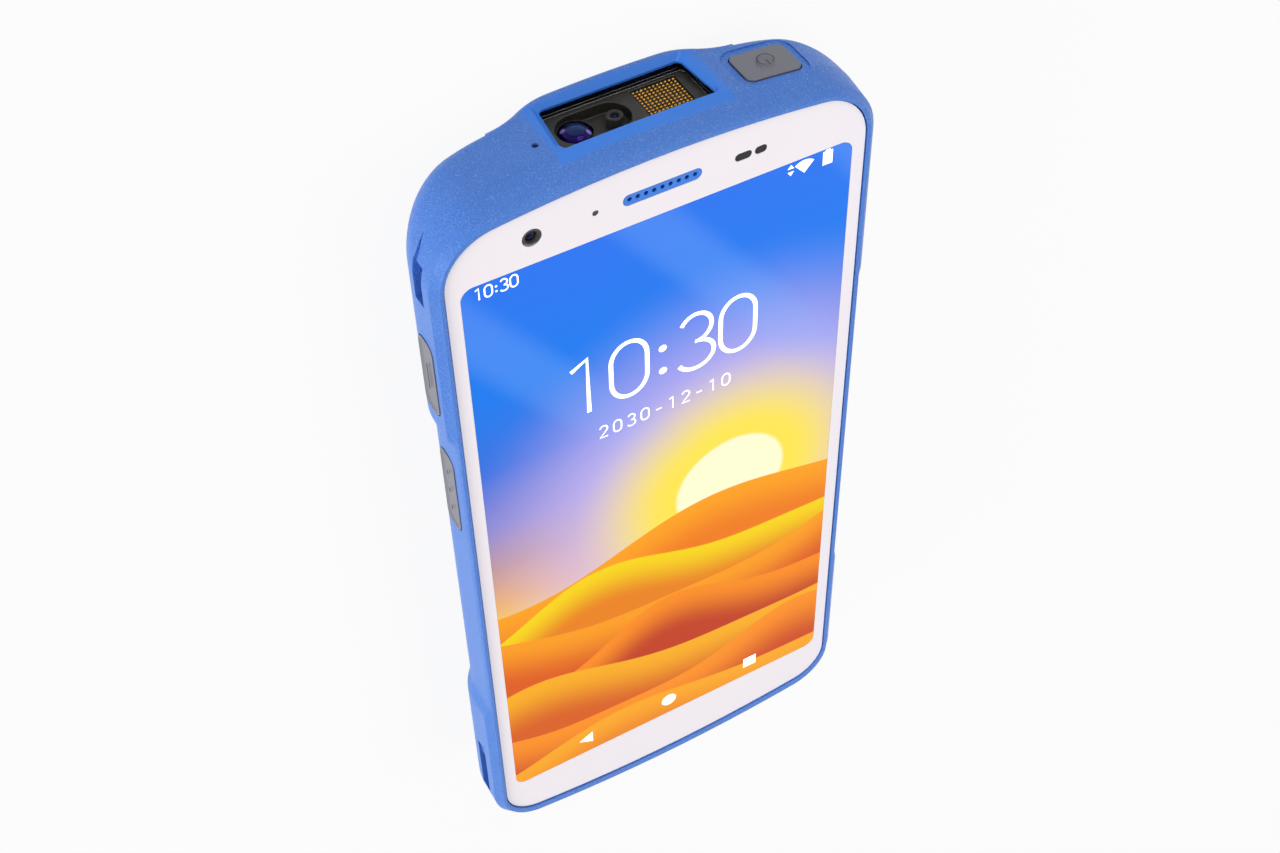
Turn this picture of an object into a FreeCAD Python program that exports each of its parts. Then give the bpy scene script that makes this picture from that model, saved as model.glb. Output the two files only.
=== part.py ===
"""Portable barcode data terminal, lying on its back, as a parametric FreeCAD document in millimetres.

+X is to the right of someone who reads the screen, +Y towards the scanning end, +Z out of the screen.
The origin is at the middle of the terminal's box, on the surface that it lies on.
"""
import FreeCAD, Part
import math
import os
import re
import Sketcher
from FreeCAD import Placement, Rotation, Vector

SIZES = {
    # Overall body, measured from the plane of the front panel's face
    "body_width": 77.1,
    "body_length": 161.7,
    "body_depth": 16.0,
    "bump_depth": 18.8,
    # Border of blue shell around the front panel
    "side_wall": 2.15,
    "top_wall": 3.0,
    "bottom_wall": 2.6,
    "rim_rise": 0.35,
    "bevel_drop": 0.2,
    "shoulder_drop": 1.0,
    "crown_drop": 5.5,
    "rim_side": 0.85,
    "rim_top": 1.0,
    "rim_bottom": 1.75,
    "bevel_side": 1.25,
    "bevel_top": 1.4,
    "bevel_bottom": 2.2,
    "shoulder_top": 1.75,
    # Plan outline of the front panel
    "end_radius": 224.0,
    "top_corner": 9.5,
    "bottom_corner": 7.5,
    # Grip waist in both long sides
    "waist_depth": 1.0,
    "waist_top_inset": 44.35,
    "waist_top_blend": 3.5,
    "waist_bottom_inset": 38.55,
    "waist_bottom_blend": 4.8,
    # Rounding of the back
    "side_round": 10.0,
    "top_round": 1.6,
    "top_end_round": 3.3,
    "top_round_reach": 18.0,
    "bottom_round": 3.0,
    # Scanner bump on the back of the scanning end
    "bump_flat": 9.5,
    "bump_blend": 11.5,
    "bump_reach": 30.0,
    "bump_run": 12.0,
    "bump_round": 1.2,
    # Front panel and the stack behind it
    "panel_thickness": 1.0,
    "panel_gap": 0.25,
    "gasket_thickness": 0.3,
    "gasket_width": 1.3,
    "window_border": 2.35,
    "window_head": 11.35,
    "window_foot": 11.75,
    "window_corner": 2.2,
    "window_gap": 0.04,
    "display_border": 0.6,
    "display_thickness": 1.6,
    "chassis_side": 1.7,
    "chassis_head": 13.85,
    "chassis_foot": 6.25,
    "chassis_thickness": 1.0,
    "chassis_corner": 4.0,
    "standoff_height": 0.8,
    "board_thickness": 0.8,
    "can_height": 2.0,
    "can_clearance": 0.8,
    "floor_thickness": 1.2,
    # Small parts in the front panel, on one line above the display
    "feature_drop": 6.2,
    "earpiece_width": 13.5,
    "earpiece_height": 2.1,
    "earpiece_holes": 9,
    "earpiece_hole": 0.8,
    "earpiece_pitch": 1.4,
    "grille_thickness": 0.7,
    "grille_sink": 0.1,
    "lens_place": 21.9,
    "lens_ring": 3.2,
    "lens_opening": 1.9,
    "lens_edge": 0.35,
    "lens_rise": 0.25,
    "lens_gap": 0.01,
    "camera_size": 6.5,
    "camera_depth": 3.6,
    "lamp_place": 11.4,
    "lamp_width": 1.0,
    "long_pill_place": 14.0,
    "long_pill_width": 2.9,
    "short_pill_place": 17.1,
    "short_pill_width": 2.1,
    "pill_height": 1.4,
    "sensor_board_width": 8.0,
    "sensor_board_depth": 4.0,
    "sensor_board_height": 1.2,
    "receiver_width": 15.0,
    "receiver_height": 6.0,
    "receiver_depth": 2.6,
    # Scan window and the imager behind it
    "aperture_width": 26.2,
    "aperture_height": 10.0,
    "aperture_taper": 0.95,
    "aperture_corner": 1.0,
    "aperture_start": 6.2,
    "recess_depth": 1.2,
    "recess_side": 1.5,
    "recess_front": 0.7,
    "recess_back": 1.1,
    "lip_thickness": 0.4,
    "pane_margin": 1.0,
    "pane_thickness": 0.8,
    "pane_gasket": 0.4,
    "seal_lip": 0.2,
    "engine_width": 26.4,
    "engine_depth": 11.0,
    "engine_height": 10.4,
    "engine_shift": 0.3,
    "nest_length": 12.2,
    "nest_height": 6.8,
    "nest_depth": 2.0,
    "nest_place": 5.3,
    "imager_drop": 0.25,
    "imager_place": 8.4,
    "imager_width": 5.1,
    "imager_rise": 1.5,
    "imager_edge": 0.4,
    "aimer_place": 1.7,
    "aimer_raise": 0.9,
    "aimer_wall": 0.6,
    "aimer_width": 1.5,
    "aimer_rise": 0.5,
    "imager_wall": 0.3,
    "barrel_length": 1.4,
    "diffuser_place": 6.75,
    "diffuser_width": 7.7,
    "diffuser_height": 7.8,
    "diffuser_depth": 1.6,
    "diffuser_sink": 0.3,
    # Keys in the shell's edges
    "key_proud": 0.2,
    "key_gap": 0.2,
    "key_travel": 0.4,
    "key_flange": 0.8,
    "key_margin": 0.5,
    "flange_gap": 0.05,
    "key_level": 5.0,
    "key_height": 5.0,
    "key_round": 1.9,
    "upper_key_inset": 33.85,
    "upper_key_length": 15.5,
    "lower_key_inset": 61.35,
    "lower_key_length": 18.0,
    "rocker_gap": 0.35,
    "switch_gap": 0.2,
    "switch_depth": 0.7,
    "switch_height": 2.6,
    "switch_length": 4.0,
    "switch_spacing": 8.0,
    "flex_thickness": 0.3,
    "power_key_inset": 15.45,
    "power_key_width": 9.8,
    "power_key_height": 6.8,
    "power_key_level": 9.0,
    "power_key_round": 1.3,
    "power_proud": 0.35,
    "power_wall": 0.6,
    "power_pocket": 4.2,
    "power_switch_width": 8.0,
    "power_switch_height": 4.0,
    "dish_depth": 0.2,
    "dish_margin": 1.4,
    # Hand strap slots in both long sides
    "strap_inset": 15.7,
    "strap_length": 4.7,
    "strap_height": 2.9,
    "strap_level": 4.75,
    "strap_depth": 2.4,
    "strap_ramp": 5.0,
    "low_strap_inset": 18.45,
    "low_strap_length": 14.4,
    "strap_bar": 1.4,
    "bar_offset": 3.6,
    "groove_offset": 3.1,
    "groove_width": 1.2,
    "groove_depth": 0.5,
    "groove_length": 4.1,
    # Battery pack in the back
    "back_wall": 1.6,
    "bay_inset": 15.05,
    "bay_corner": 3.0,
    "pack_gap": 0.25,
    "pack_wall": 1.2,
    "pack_side": 3.1,
    "pack_foot": 3.1,
    "pack_head": 8.1,
    "pack_lid": 0.6,
    "cell_width": 52.0,
    "cell_length": 84.0,
    "cell_gap": 0.2,
    "circuit_width": 40.0,
    "circuit_length": 4.5,
    "circuit_spacing": 1.5,
    "circuit_thickness": 1.0,
    "latch_place": 20.0,
    "latch_inset": 4.6,
    "latch_width": 8.0,
    "latch_length": 6.0,
    "latch_thickness": 1.5,
    "latch_gap": 0.1,
    "latch_travel": 2.5,
    "terminal_width": 14.0,
    "terminal_height": 4.0,
    "terminal_offset": 2.3,
    "terminal_gap": 0.2,
    "contact_width": 1.6,
    "contact_pitch": 2.5,
    "contact_length": 3.0,
    "contact_depth": 0.4,
    "contact_count": 5,
    # Boards and what they carry
    "board_side": 1.3,
    "main_board_length": 59.0,
    "main_board_head": 23.85,
    "foot_board_width": 38.0,
    "foot_board_length": 14.0,
    "foot_board_inset": 5.35,
    "ribbon_width": 8.0,
    "ribbon_lap": 3.0,
    "standoff_width": 4.0,
    "foot_screw_x": 15.0,
    "foot_screw_inset": 4.0,
    "board_screw_side": 3.8,
    "board_screw_end": 4.0,
    "board_screw_head": 2.6,
    "board_screw_head_height": 0.7,
    "board_screw_body": 1.4,
    "board_screw_gap": 0.05,
    "can_width": 19.0,
    "can_length": 17.5,
    "can_spacing": 18.0,
    "can_row_gap": 3.0,
    # Camera, sockets and sounders
    "rear_camera_inset": 23.35,
    "rear_window_width": 19.0,
    "rear_window_height": 9.0,
    "rear_window_corner": 4.4,
    "rear_window_depth": 0.8,
    "rear_window_sink": 0.2,
    "rear_window_ledge": 1.0,
    "rear_camera_size": 8.5,
    "rear_camera_depth": 5.5,
    "rear_lens_place": 3.5,
    "flash_place": 6.0,
    "flash_width": 4.0,
    "flash_depth": 2.0,
    "socket_width": 9.2,
    "socket_height": 3.4,
    "socket_wall": 0.3,
    "socket_depth": 7.4,
    "socket_lip": 0.5,
    "socket_gap": 0.05,
    "tongue_width": 6.6,
    "tongue_height": 0.7,
    "tongue_length": 5.0,
    "speaker_width": 12.5,
    "speaker_length": 7.0,
    "speaker_height": 4.0,
    "speaker_place": 14.2,
    "sound_hole": 1.1,
    "sound_pitch": 2.2,
    "sound_holes": 5,
    "ear_mic_place": 16.3,
    "foot_mic_place": 12.0,
    "mic_level": 8.8,
    "mic_size": 3.0,
    "sound_gap": 0.4,
    "mic_depth": 1.5,
    "mic_hole": 1.1,
    "motor_width": 8.0,
    "motor_height": 2.6,
    "motor_clearance": 0.8,
    "pin_width": 2.2,
    "pin_pitch": 3.6,
    "pin_count": 4,
    "pin_inset": 6.85,
    "pin_sink": 0.1,
    "pin_block_length": 3.5,
    "pin_block_height": 1.2,
    "antenna_place": 14.0,
    "antenna_width": 10.0,
    "antenna_length": 6.0,
    "antenna_thickness": 0.3,
    # Shell screws and the posts that they stand in
    "screw_head": 3.8,
    "screw_head_height": 1.4,
    "screw_body": 2.0,
    "screw_sink": 0.6,
    "screw_gap": 0.1,
    "post_width": 6.4,
    "screw_x": 24.0,
    "top_screw_inset": 19.85,
    "low_screw_inset": 10.35,
    "back_room_side": 27.4,
    "bay_wall_head": 2.7,
    "bay_wall_foot": 2.6,
    "engine_gap": 0.5,
    "engine_rib": 1.2,
    "switch_wall": 0.8,
}

LAYOUT = {
    "half_width": "body_width / 2",
    "half_length": "body_length / 2",
    "glass": "bump_depth",
    "back": "bump_depth - body_depth",
    "panel_side": "half_width - side_wall",
    "panel_top": "half_length - top_wall",
    "panel_foot": "half_length - bottom_wall",
    "ledge": "glass - panel_thickness - gasket_thickness",
    "display_top": "glass - panel_thickness",
    "chassis_top": "display_top - display_thickness",
    "board_top": "chassis_top - chassis_thickness - standoff_height",
    "board_back": "board_top - board_thickness",
    "cavity_floor": "board_back - can_height - can_clearance",
    "bay_floor": "cavity_floor - floor_thickness",
    "pack_front": "bay_floor - pack_gap",
    "feature_line": "panel_top - feature_drop",
    "aperture_middle": "glass - aperture_start - aperture_height / 2",
    "lip_front": "half_length - recess_depth",
    "pane_front": "lip_front - lip_thickness",
    "pane_back": "pane_front - pane_thickness",
    "engine_front": "pane_back - pane_gasket",
    "engine_back": "engine_front - engine_depth",
    "key_line": "glass - key_level",
    "waist_side": "half_width - waist_depth",
    "engine_reach": "engine_back - circuit_thickness - flex_thickness - engine_gap",
    "room_foot": "panel_foot - gasket_width - sound_gap",
    "mic_line": "glass - mic_level",
    "mic_seat": "panel_top - sound_gap",
    "window_inside": "rear_window_sink + rear_window_depth",
    "pocket_foot": "pocket_length / 2 - pocket_middle",
    "chassis_back": "chassis_top - chassis_thickness",
    "imager_foot": "aperture_middle - engine_height / 2",
    "pane_foot": "aperture_middle - aperture_height / 2 - pane_margin",
    "nest_floor": "engine_front - nest_depth",
    "power_slack": "power_pocket - flange_gap - key_flange - key_travel - switch_gap",
    "strap_line": "glass - strap_level",
    "socket_line": "board_back - socket_height / 2",
    "socket_mouth": "socket_lip - half_length",
    "flange_seat": "inner_side + key_flange + key_travel",
    "power_line": "glass - power_key_level",
    "power_seat": "panel_top + power_wall",
    "waist_top": "half_length - waist_top_inset",
    "waist_bottom": "half_length - waist_bottom_inset",
    "window_width": "2 * (panel_side - window_border)",
    "window_length": "panel_top - window_head + panel_foot - window_foot",
    "window_middle": "(panel_top - window_head - panel_foot + window_foot) / 2",
    "chassis_width": "2 * (panel_side - chassis_side)",
    "chassis_length": "panel_top - chassis_head + panel_foot - chassis_foot",
    "chassis_middle": "(panel_top - chassis_head - panel_foot + chassis_foot) / 2",
    "imager_line": "aperture_middle - imager_drop",
    "upper_key_place": "half_length - upper_key_inset",
    "lower_key_place": "half_length - lower_key_inset",
    "power_key_place": "half_width - power_key_inset",
    "strap_place": "half_length - strap_inset",
    "low_strap_place": "half_length - low_strap_inset",
    "bar_place": "low_strap_place - bar_offset",
    "bay_width": "cell_width + 2 * cell_gap + 2 * pack_side",
    "pocket_length": "cell_length + circuit_length + circuit_spacing + 2 * cell_gap",
    "bay_length": "pocket_length + pack_foot + pack_head",
    "bay_centre": "half_length - bay_inset - bay_length / 2",
    "terminal_place": "pocket_top + terminal_offset",
    "main_board_width": "2 * (inner_side - board_side)",
    "main_board_centre": "half_length - main_board_head - main_board_length / 2",
    "foot_board_centre": "half_length - foot_board_inset - foot_board_length / 2",
    "rear_camera_place": "half_length - rear_camera_inset",
    "motor_place": "screw_x - post_width / 2 - motor_clearance - motor_width / 2",
    "motor_row": "(back_room_foot + engine_reach) / 2",
    "pin_row": "half_length - pin_inset",
    "top_screw_row": "half_length - top_screw_inset",
    "foot_screw_row": "half_length - low_screw_inset",
    "back_room_foot": "bay_top + bay_wall_head",
    "foot_room_top": "bay_length / 2 + bay_centre + bay_wall_foot",
    "pocket_middle": "-bay_centre - (pack_head - pack_foot) / 2",
    "pocket_top": "pocket_middle + pocket_length / 2",
    "latch_row": "bay_top - latch_inset",
    "rear_wall": "back + back_wall",
    "inner_side": "panel_side - gasket_width",
    "bay_top": "bay_length / 2 - bay_centre",
}

UPWARD = Rotation()
BACKWARD = Rotation(Vector(1, 0, 0), 90)
FORWARD = Rotation(Vector(1, 0, 0), -90)
LEFTWARD = Rotation(Vector(0, 1, 0), -90)
RIGHTWARD = Rotation(Vector(0, 1, 0), 90)

doc = FreeCAD.newDocument("DataTerminal")


def bound(formula):
    """A formula with each named size pointed at the sheet or the layout that holds it."""
    def owner(match):
        word = match.group(0)
        if word in SIZES:
            return "Sizes." + word
        if word in LAYOUT:
            return "Layout." + word
        return word
    return re.sub(r"[a-z_]+", owner, str(formula))


def make_sheet():
    """The spreadsheet of driving dimensions, and the levels and edges that follow from them."""
    sheet = doc.addObject("Spreadsheet::Sheet", "Sizes")
    for row, (name, size) in enumerate(SIZES.items(), start=1):
        sheet.set(f"A{row}", name)
        sheet.set(f"B{row}", str(size))
        sheet.setAlias(f"B{row}", name)
    layout = doc.addObject("App::VarSet", "Layout")
    for name in LAYOUT:
        layout.addProperty("App::PropertyFloat", name)
    doc.recompute()
    for name, formula in LAYOUT.items():
        layout.setExpression(name, bound(formula))
    doc.recompute()
    reckoner = doc.addObject("App::VarSet", "Reckoner")
    reckoner.addProperty("App::PropertyFloat", "answer")
    return reckoner


reckoner = make_sheet()


def number(formula):
    """The value of a formula of named sizes, worked out by the document."""
    reckoner.setExpression("answer", bound(formula))
    reckoner.recompute()
    return reckoner.answer


def bind(item, **formulas):
    """Ties properties of an object to formulas of named sizes."""
    for name, formula in formulas.items():
        item.setExpression(name, bound(formula))
    return item


def place(item, where, turn=UPWARD):
    """Turns an object, and ties its position to formulas of named sizes."""
    item.Placement = Placement(Vector(), turn)
    for axis, formula in zip("xyz", where):
        item.setExpression(f"Placement.Base.{axis}", bound(formula))
    return item


def block(name, size, where):
    """A box from its three sizes and the middle of its underside."""
    box = bind(doc.addObject("Part::Box", name), Length=size[0], Width=size[1], Height=size[2])
    corner = (f"{where[0]} - ({size[0]}) / 2", f"{where[1]} - ({size[1]}) / 2", where[2])
    return place(box, corner)


def rod(name, width, length, where, turn=UPWARD):
    """A round bar from its diameter, its length and the middle of its first end."""
    bar = bind(doc.addObject("Part::Cylinder", name), Radius=f"({width}) / 2", Height=length)
    return place(bar, where, turn)


def plate(name, width, height, corner, thickness, where, turn=UPWARD):
    """A plate with rounded corners, which grows away from the middle of its first face."""
    body = doc.addObject("PartDesign::Body", name)
    slab = body.newObject("PartDesign::AdditiveBox", name + "_slab")
    bind(slab, Length=width, Width=height, Height=thickness)
    slab.setExpression("Placement.Base.x", bound(f"-({width}) / 2"))
    slab.setExpression("Placement.Base.y", bound(f"-({height}) / 2"))
    doc.recompute()
    rounding = body.newObject("PartDesign::Fillet", name + "_rounding")
    rounding.Base = (slab, ["Edge1", "Edge3", "Edge5", "Edge7"])
    bind(rounding, Radius=corner)
    body.Tip = rounding
    return place(body, where, turn)


def turned(name, points, where, turn=UPWARD):
    """A turned piece: the profile's points are pairs of radius and height, the first two on the axis."""
    body = doc.addObject("PartDesign::Body", name)
    planes = {part.Role: part for part in body.Origin.OriginFeatures}
    sketch = body.newObject("Sketcher::SketchObject", name + "_profile")
    sketch.AttachmentSupport = [(planes["XZ_Plane"], "")]
    sketch.MapMode = "FlatFace"
    corners = [Vector(number(radius), number(height), 0) for radius, height in points]
    for index, corner in enumerate(corners):
        following = corners[(index + 1) % len(corners)]
        sketch.addGeometry(Part.LineSegment(corner, following), False)
    for index, (radius, height) in enumerate(points):
        before = index - 1 if index else len(points) - 1
        sketch.addConstraint(Sketcher.Constraint("Coincident", before, 2, index, 1))
        corner = corners[index]
        for kind, formula, size in (("DistanceX", radius, corner.x), ("DistanceY", height, corner.y)):
            if size == 0:
                axis = -2 if kind == "DistanceX" else -1
                sketch.addConstraint(Sketcher.Constraint("PointOnObject", index, 1, axis))
                continue
            added = sketch.addConstraint(Sketcher.Constraint(kind, -1, 1, index, 1, size))
            sketch.setExpression(f"Constraints[{added}]", bound(formula))
    spin = body.newObject("PartDesign::Revolution", name + "_turning")
    spin.Profile = sketch
    spin.ReferenceAxis = (sketch, ["V_Axis"])
    spin.Angle = 360.0
    body.Tip = spin
    return place(body, where, turn)


def cut(name, base, *tools):
    """One object less one or more others."""
    if len(tools) > 1:
        tools = (join(name + "_cutters", *tools),)
    result = doc.addObject("Part::Cut", name)
    result.Base = base
    result.Tool = tools[0]
    return result


def join(name, *pieces):
    """Pieces fused into one."""
    result = doc.addObject("Part::MultiFuse", name)
    result.Shapes = list(pieces)
    result.Refine = False
    return result


def common(name, *pieces):
    """What two or more objects share."""
    result = doc.addObject("Part::MultiCommon", name)
    result.Shapes = list(pieces)
    return result


def group(name, pieces):
    """Separate solids kept together as one sub-part."""
    result = doc.addObject("Part::Compound", name)
    result.Links = list(pieces)
    return result


def solid(name, shape):
    """A document object that holds a shape made with Part's own functions."""
    item = doc.addObject("Part::Feature", name)
    item.Shape = shape
    return item


def arc(middle, radius, start, end, level):
    """An arc in plan, from one angle to another."""
    def at(angle):
        return Vector(middle[0] + radius * math.cos(angle), middle[1] + radius * math.sin(angle), level)
    return Part.Arc(at(start), at((start + end) / 2), at(end)).toShape()


def line(start, end, level):
    """A straight edge in plan."""
    return Part.LineSegment(Vector(*start, level), Vector(*end, level)).toShape()


def blend(start, end, level):
    """An S-shaped pair of arcs in plan that leaves and arrives along Y."""
    run, drop = end[1] - start[1], end[0] - start[0]
    middle = ((start[0] + end[0]) / 2, (start[1] + end[1]) / 2)
    if abs(drop) < 1e-9:
        return [line(start, middle, level), line(middle, end, level)]
    radius = (run * run + drop * drop) / (4 * abs(drop)) * math.copysign(1, drop)
    edges = []
    for foot, centre, other in ((start, start[0] + radius, middle), (end, end[0] - radius, middle)):
        halfway = Vector((foot[0] + other[0]) / 2 - centre, (foot[1] + other[1]) / 2 - foot[1], 0)
        halfway.normalize()
        bulge = Vector(centre, foot[1], 0) + halfway * abs(radius)
        first, last = (foot, other) if foot is start else (other, foot)
        on_arc = Vector(bulge.x, bulge.y, level)
        edges.append(Part.Arc(Vector(*first, level), on_arc, Vector(*last, level)).toShape())
    return edges


def outline(level, side, top, foot, waist=0.0):
    """The body's plan outline at one level, as far out from the front panel's edge as is asked for."""
    width = number("panel_side") + side
    corner_top = number("top_corner") + (side + top) / 2
    corner_foot = number("bottom_corner") + (side + foot) / 2
    arc_top = number("end_radius") + top
    arc_foot = number("end_radius") + foot
    centre_top = number("panel_top") + top - arc_top
    centre_foot = number("panel_foot") + foot - arc_foot
    bend_top = centre_top + math.sqrt((arc_top - corner_top) ** 2 - (width - corner_top) ** 2)
    bend_foot = centre_foot + math.sqrt((arc_foot - corner_foot) ** 2 - (width - corner_foot) ** 2)
    lean_top = math.atan2(bend_top - centre_top, width - corner_top)
    lean_foot = math.atan2(bend_foot - centre_foot, width - corner_foot)
    waist_top, waist_foot = number("waist_top"), -number("waist_bottom")
    grip_top, grip_foot = waist_top - number("waist_top_blend"), waist_foot + number("waist_bottom_blend")
    narrow = width - waist
    edges = [line((width, -bend_foot), (width, waist_foot), level)]
    edges += blend((width, waist_foot), (narrow, grip_foot), level)
    edges.append(line((narrow, grip_foot), (narrow, grip_top), level))
    edges += blend((narrow, grip_top), (width, waist_top), level)
    edges.append(line((width, waist_top), (width, bend_top), level))
    edges.append(arc((width - corner_top, bend_top), corner_top, 0, lean_top, level))
    reach = math.acos(number("top_round_reach") / arc_top)
    for start, finish in ((lean_top, reach), (reach, math.pi - reach), (math.pi - reach, math.pi - lean_top)):
        edges.append(arc((0, centre_top), arc_top, start, finish, level))
    edges.append(arc((corner_top - width, bend_top), corner_top, math.pi - lean_top, math.pi, level))
    edges.append(line((-width, bend_top), (-width, waist_top), level))
    edges += blend((-width, waist_top), (-narrow, grip_top), level)
    edges.append(line((-narrow, grip_top), (-narrow, grip_foot), level))
    edges += blend((-narrow, grip_foot), (-width, waist_foot), level)
    edges.append(line((-width, waist_foot), (-width, -bend_foot), level))
    edges.append(arc((corner_foot - width, -bend_foot), corner_foot, math.pi, math.pi + lean_foot, level))
    edges.append(arc((0, -centre_foot), arc_foot, math.pi + lean_foot, 2 * math.pi - lean_foot, level))
    edges.append(arc((width - corner_foot, -bend_foot), corner_foot, 2 * math.pi - lean_foot, 2 * math.pi,
                     level))
    return Part.Wire(edges)


def prism(name, low, high, side, top, foot, waist=0.0):
    """A straight-sided solid with the body's plan outline, between two levels."""
    wire = outline(number(low), side, top, foot, waist)
    return solid(name, Part.Face(wire).extrude(Vector(0, 0, number(high) - number(low))))


def offsets():
    """The outermost distances from the front panel's edge to the side, top and foot of the body."""
    return number("side_wall"), number("top_wall"), number("bottom_wall")


def body_form():
    """The outer form of the shell: rim, bevel, shoulder and crown, with a rounded back."""
    side, top, foot = offsets()
    waist = number("waist_depth")
    bevel_waist = number("bevel_side") - (side - waist)
    sections = [
        outline(number("glass + rim_rise"), number("rim_side"), number("rim_top"), number("rim_bottom")),
        outline(number("glass - bevel_drop"), number("bevel_side"), number("bevel_top"),
                number("bevel_bottom"), max(bevel_waist, 0.0) + number("bevel_drop") / 4),
        outline(number("glass - shoulder_drop"), side, number("shoulder_top"), foot, waist),
        outline(number("glass - crown_drop"), side, top, foot, waist),
        outline(number("back"), side, top, foot, waist),
    ]
    blank = solid("body_blank", Part.makeLoft(sections, True, True))
    rounding = doc.addObject("Part::Fillet", "body_rounding")
    rounding.Base = blank
    rounding.Edges = back_edges(blank.Shape)
    return rounding


def back_edges(shape):
    """The edges around the back with their radii, which change from side to end round each corner."""
    level = number("back")
    side = number("side_round")
    straight = min(number("panel_top"), number("panel_foot")) / 2
    reach = number("top_round_reach") + 1e-3
    rounded = []

    def radius(point):
        """Radius of the rounding where two edges of the back meet."""
        if abs(point.y) < straight or abs(point.x) > number("panel_side"):
            return side
        if point.y < 0:
            return number("bottom_round")
        return number("top_round") if abs(point.x) < reach else number("top_end_round")

    for index, edge in enumerate(shape.Edges, start=1):
        if edge.BoundBox.ZMax < level + 1e-6:
            first, last = (radius(edge.valueAt(end)) for end in edge.ParameterRange)
            rounded.append((index, first, last))
    return rounded


def swell(run_start, run_end, low, high, deep):
    """Face profile of the bump: flat and low as far as run_start, and blended to high by run_end."""
    edges = []
    for edge in blend((low, run_start), (high, run_end), 0):
        edges.append(edge)
    edges.append(line((high, run_end), (deep, run_end), 0))
    return edges


def bump_form():
    """The swelling on the back that makes room for the imager, blended into the body's back."""
    side, top, foot = offsets()
    low, high = 0.0, number("back")
    deep = high + number("bump_blend") / 4
    flat, edge_x = number("bump_flat"), number("bump_flat + bump_blend")
    half = swell(flat, edge_x, low, high, deep)
    across = list(half)
    mirror = [edge.mirror(Vector(), Vector(0, 1, 0)) for edge in half]
    across += mirror
    across.append(line((low, -flat), (low, flat), 0))
    across.append(line((deep, -edge_x), (deep, edge_x), 0))
    cross = Part.Face(Part.Wire(Part.__sortEdges__(across)))
    to_cross = Placement(Vector(), Rotation(Vector(0, 0, 1), Vector(1, 0, 0), Vector(0, 1, 0), "XYZ"))
    cross.Placement = to_cross
    length = number("half_length")
    start, finish = length - number("bump_reach"), length - number("bump_reach + bump_run")
    along = swell(-start, -finish, low, high, deep)
    along.append(line((deep, -finish), (deep, -length - 1), 0))
    along.append(line((deep, -length - 1), (low, -length - 1), 0))
    along.append(line((low, -length - 1), (low, -start), 0))
    slope = Part.Face(Part.Wire(Part.__sortEdges__(along)))
    to_slope = Rotation(Vector(0, 0, 1), Vector(0, -1, 0), Vector(1, 0, 0), "XYZ")
    slope.Placement = Placement(Vector(-edge_x - 1, 0, 0), to_slope)
    plan = Part.Face(outline(low, side, top, foot)).extrude(Vector(0, 0, deep))
    bar = cross.extrude(Vector(0, length + 1, 0))
    wedge = slope.extrude(Vector(2 * edge_x + 2, 0, 0))
    form = bar.common(wedge).common(plan)
    rim = [edge for edge in form.Edges
           if edge.CenterOfMass.y > length - number("top_wall") and edge.BoundBox.ZMax < high + 1e-4
           and edge.BoundBox.XLength > 1e-3]
    return solid("bump", form.makeFillet(number("bump_round"), rim))


def trapezium(name, start, finish, grow):
    """The scan aperture's tapered outline, drawn out along Y and widened towards the outside."""
    half, taper = number("aperture_width / 2"), number("aperture_taper")
    front = number("glass - aperture_start")
    back = front - number("aperture_height")
    side, ahead, behind = grow

    def wire(y, share):
        corners = [(-half - side * share, front + ahead * share),
                   (half + side * share, front + ahead * share),
               (half - taper + side * share, back - behind * share),
                   (-half + taper - side * share, back - behind * share)]
        points = [Vector(x, y, z) for x, z in corners]
        return Part.makePolygon(points + points[:1])

    form = Part.makeLoft([wire(start, 0.0), wire(finish, 1.0)], True, True)
    lengthwise = [edge for edge in form.Edges if edge.BoundBox.YLength > (finish - start) / 2]
    return solid(name, form.makeFillet(number("aperture_corner"), lengthwise))


def key_slot(name, side, middle, length):
    """The opening for a key through one long wall, with room behind it for the key's flange."""
    turn = LEFTWARD if side < 0 else RIGHTWARD
    mouth = plate(name + "_mouth", "key_height + 2 * key_gap", f"{length} + 2 * key_gap",
                  "key_round + key_gap", "side_wall + gasket_width + 1",
                  (f"{side} * inner_side", middle, "key_line"), turn)
    room = plate(name + "_room", "key_height + 2 * key_margin + 2 * key_gap",
                 f"{length} + 2 * key_margin + 2 * key_gap", "key_round + key_margin + key_gap",
                 "key_flange + key_travel + 1", (f"{side} * (inner_side - 1)", middle, "key_line"), turn)
    return [mouth, room]


def key(name, side, middle, length, wall, slack="flange_gap"):
    """A side key: a rounded cap through the wall, and the flange that keeps it in."""
    turn = LEFTWARD if side < 0 else RIGHTWARD
    flange = plate(name + "_flange", "key_height + 2 * key_margin", f"{length} + 2 * key_margin",
                   "key_round + key_margin", "key_flange",
                   (f"{side} * (flange_seat - key_flange - {slack})", middle, "key_line"), turn)
    cap = plate(name + "_cap", "key_height", length, "key_round",
                f"{wall} + key_proud - flange_seat + {slack}",
                (f"{side} * (flange_seat - {slack})", middle, "key_line"), turn)
    return join(name, flange, cap)


def key_switches(name, side, places):
    """The dome switches behind one side's keys, on their flexible strip."""
    strip_x = f"{side} * (inner_side - switch_gap - switch_depth - flex_thickness / 2)"
    low, high = f"{places[0]} - switch_spacing", f"{places[-1]} + switch_spacing"
    pieces = [block(name + "_strip", ("flex_thickness", f"{high} - ({low})", "switch_height"),
                    (strip_x, f"({high} + {low}) / 2", "key_line - switch_height / 2"))]
    for index, middle in enumerate(places):
        pieces.append(block(f"{name}_dome{index}", ("switch_depth", "switch_length", "switch_height"),
                            (f"{side} * (inner_side - switch_gap - switch_depth / 2)", middle,
                             "key_line - switch_height / 2")))
    return join(name, *pieces)


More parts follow.
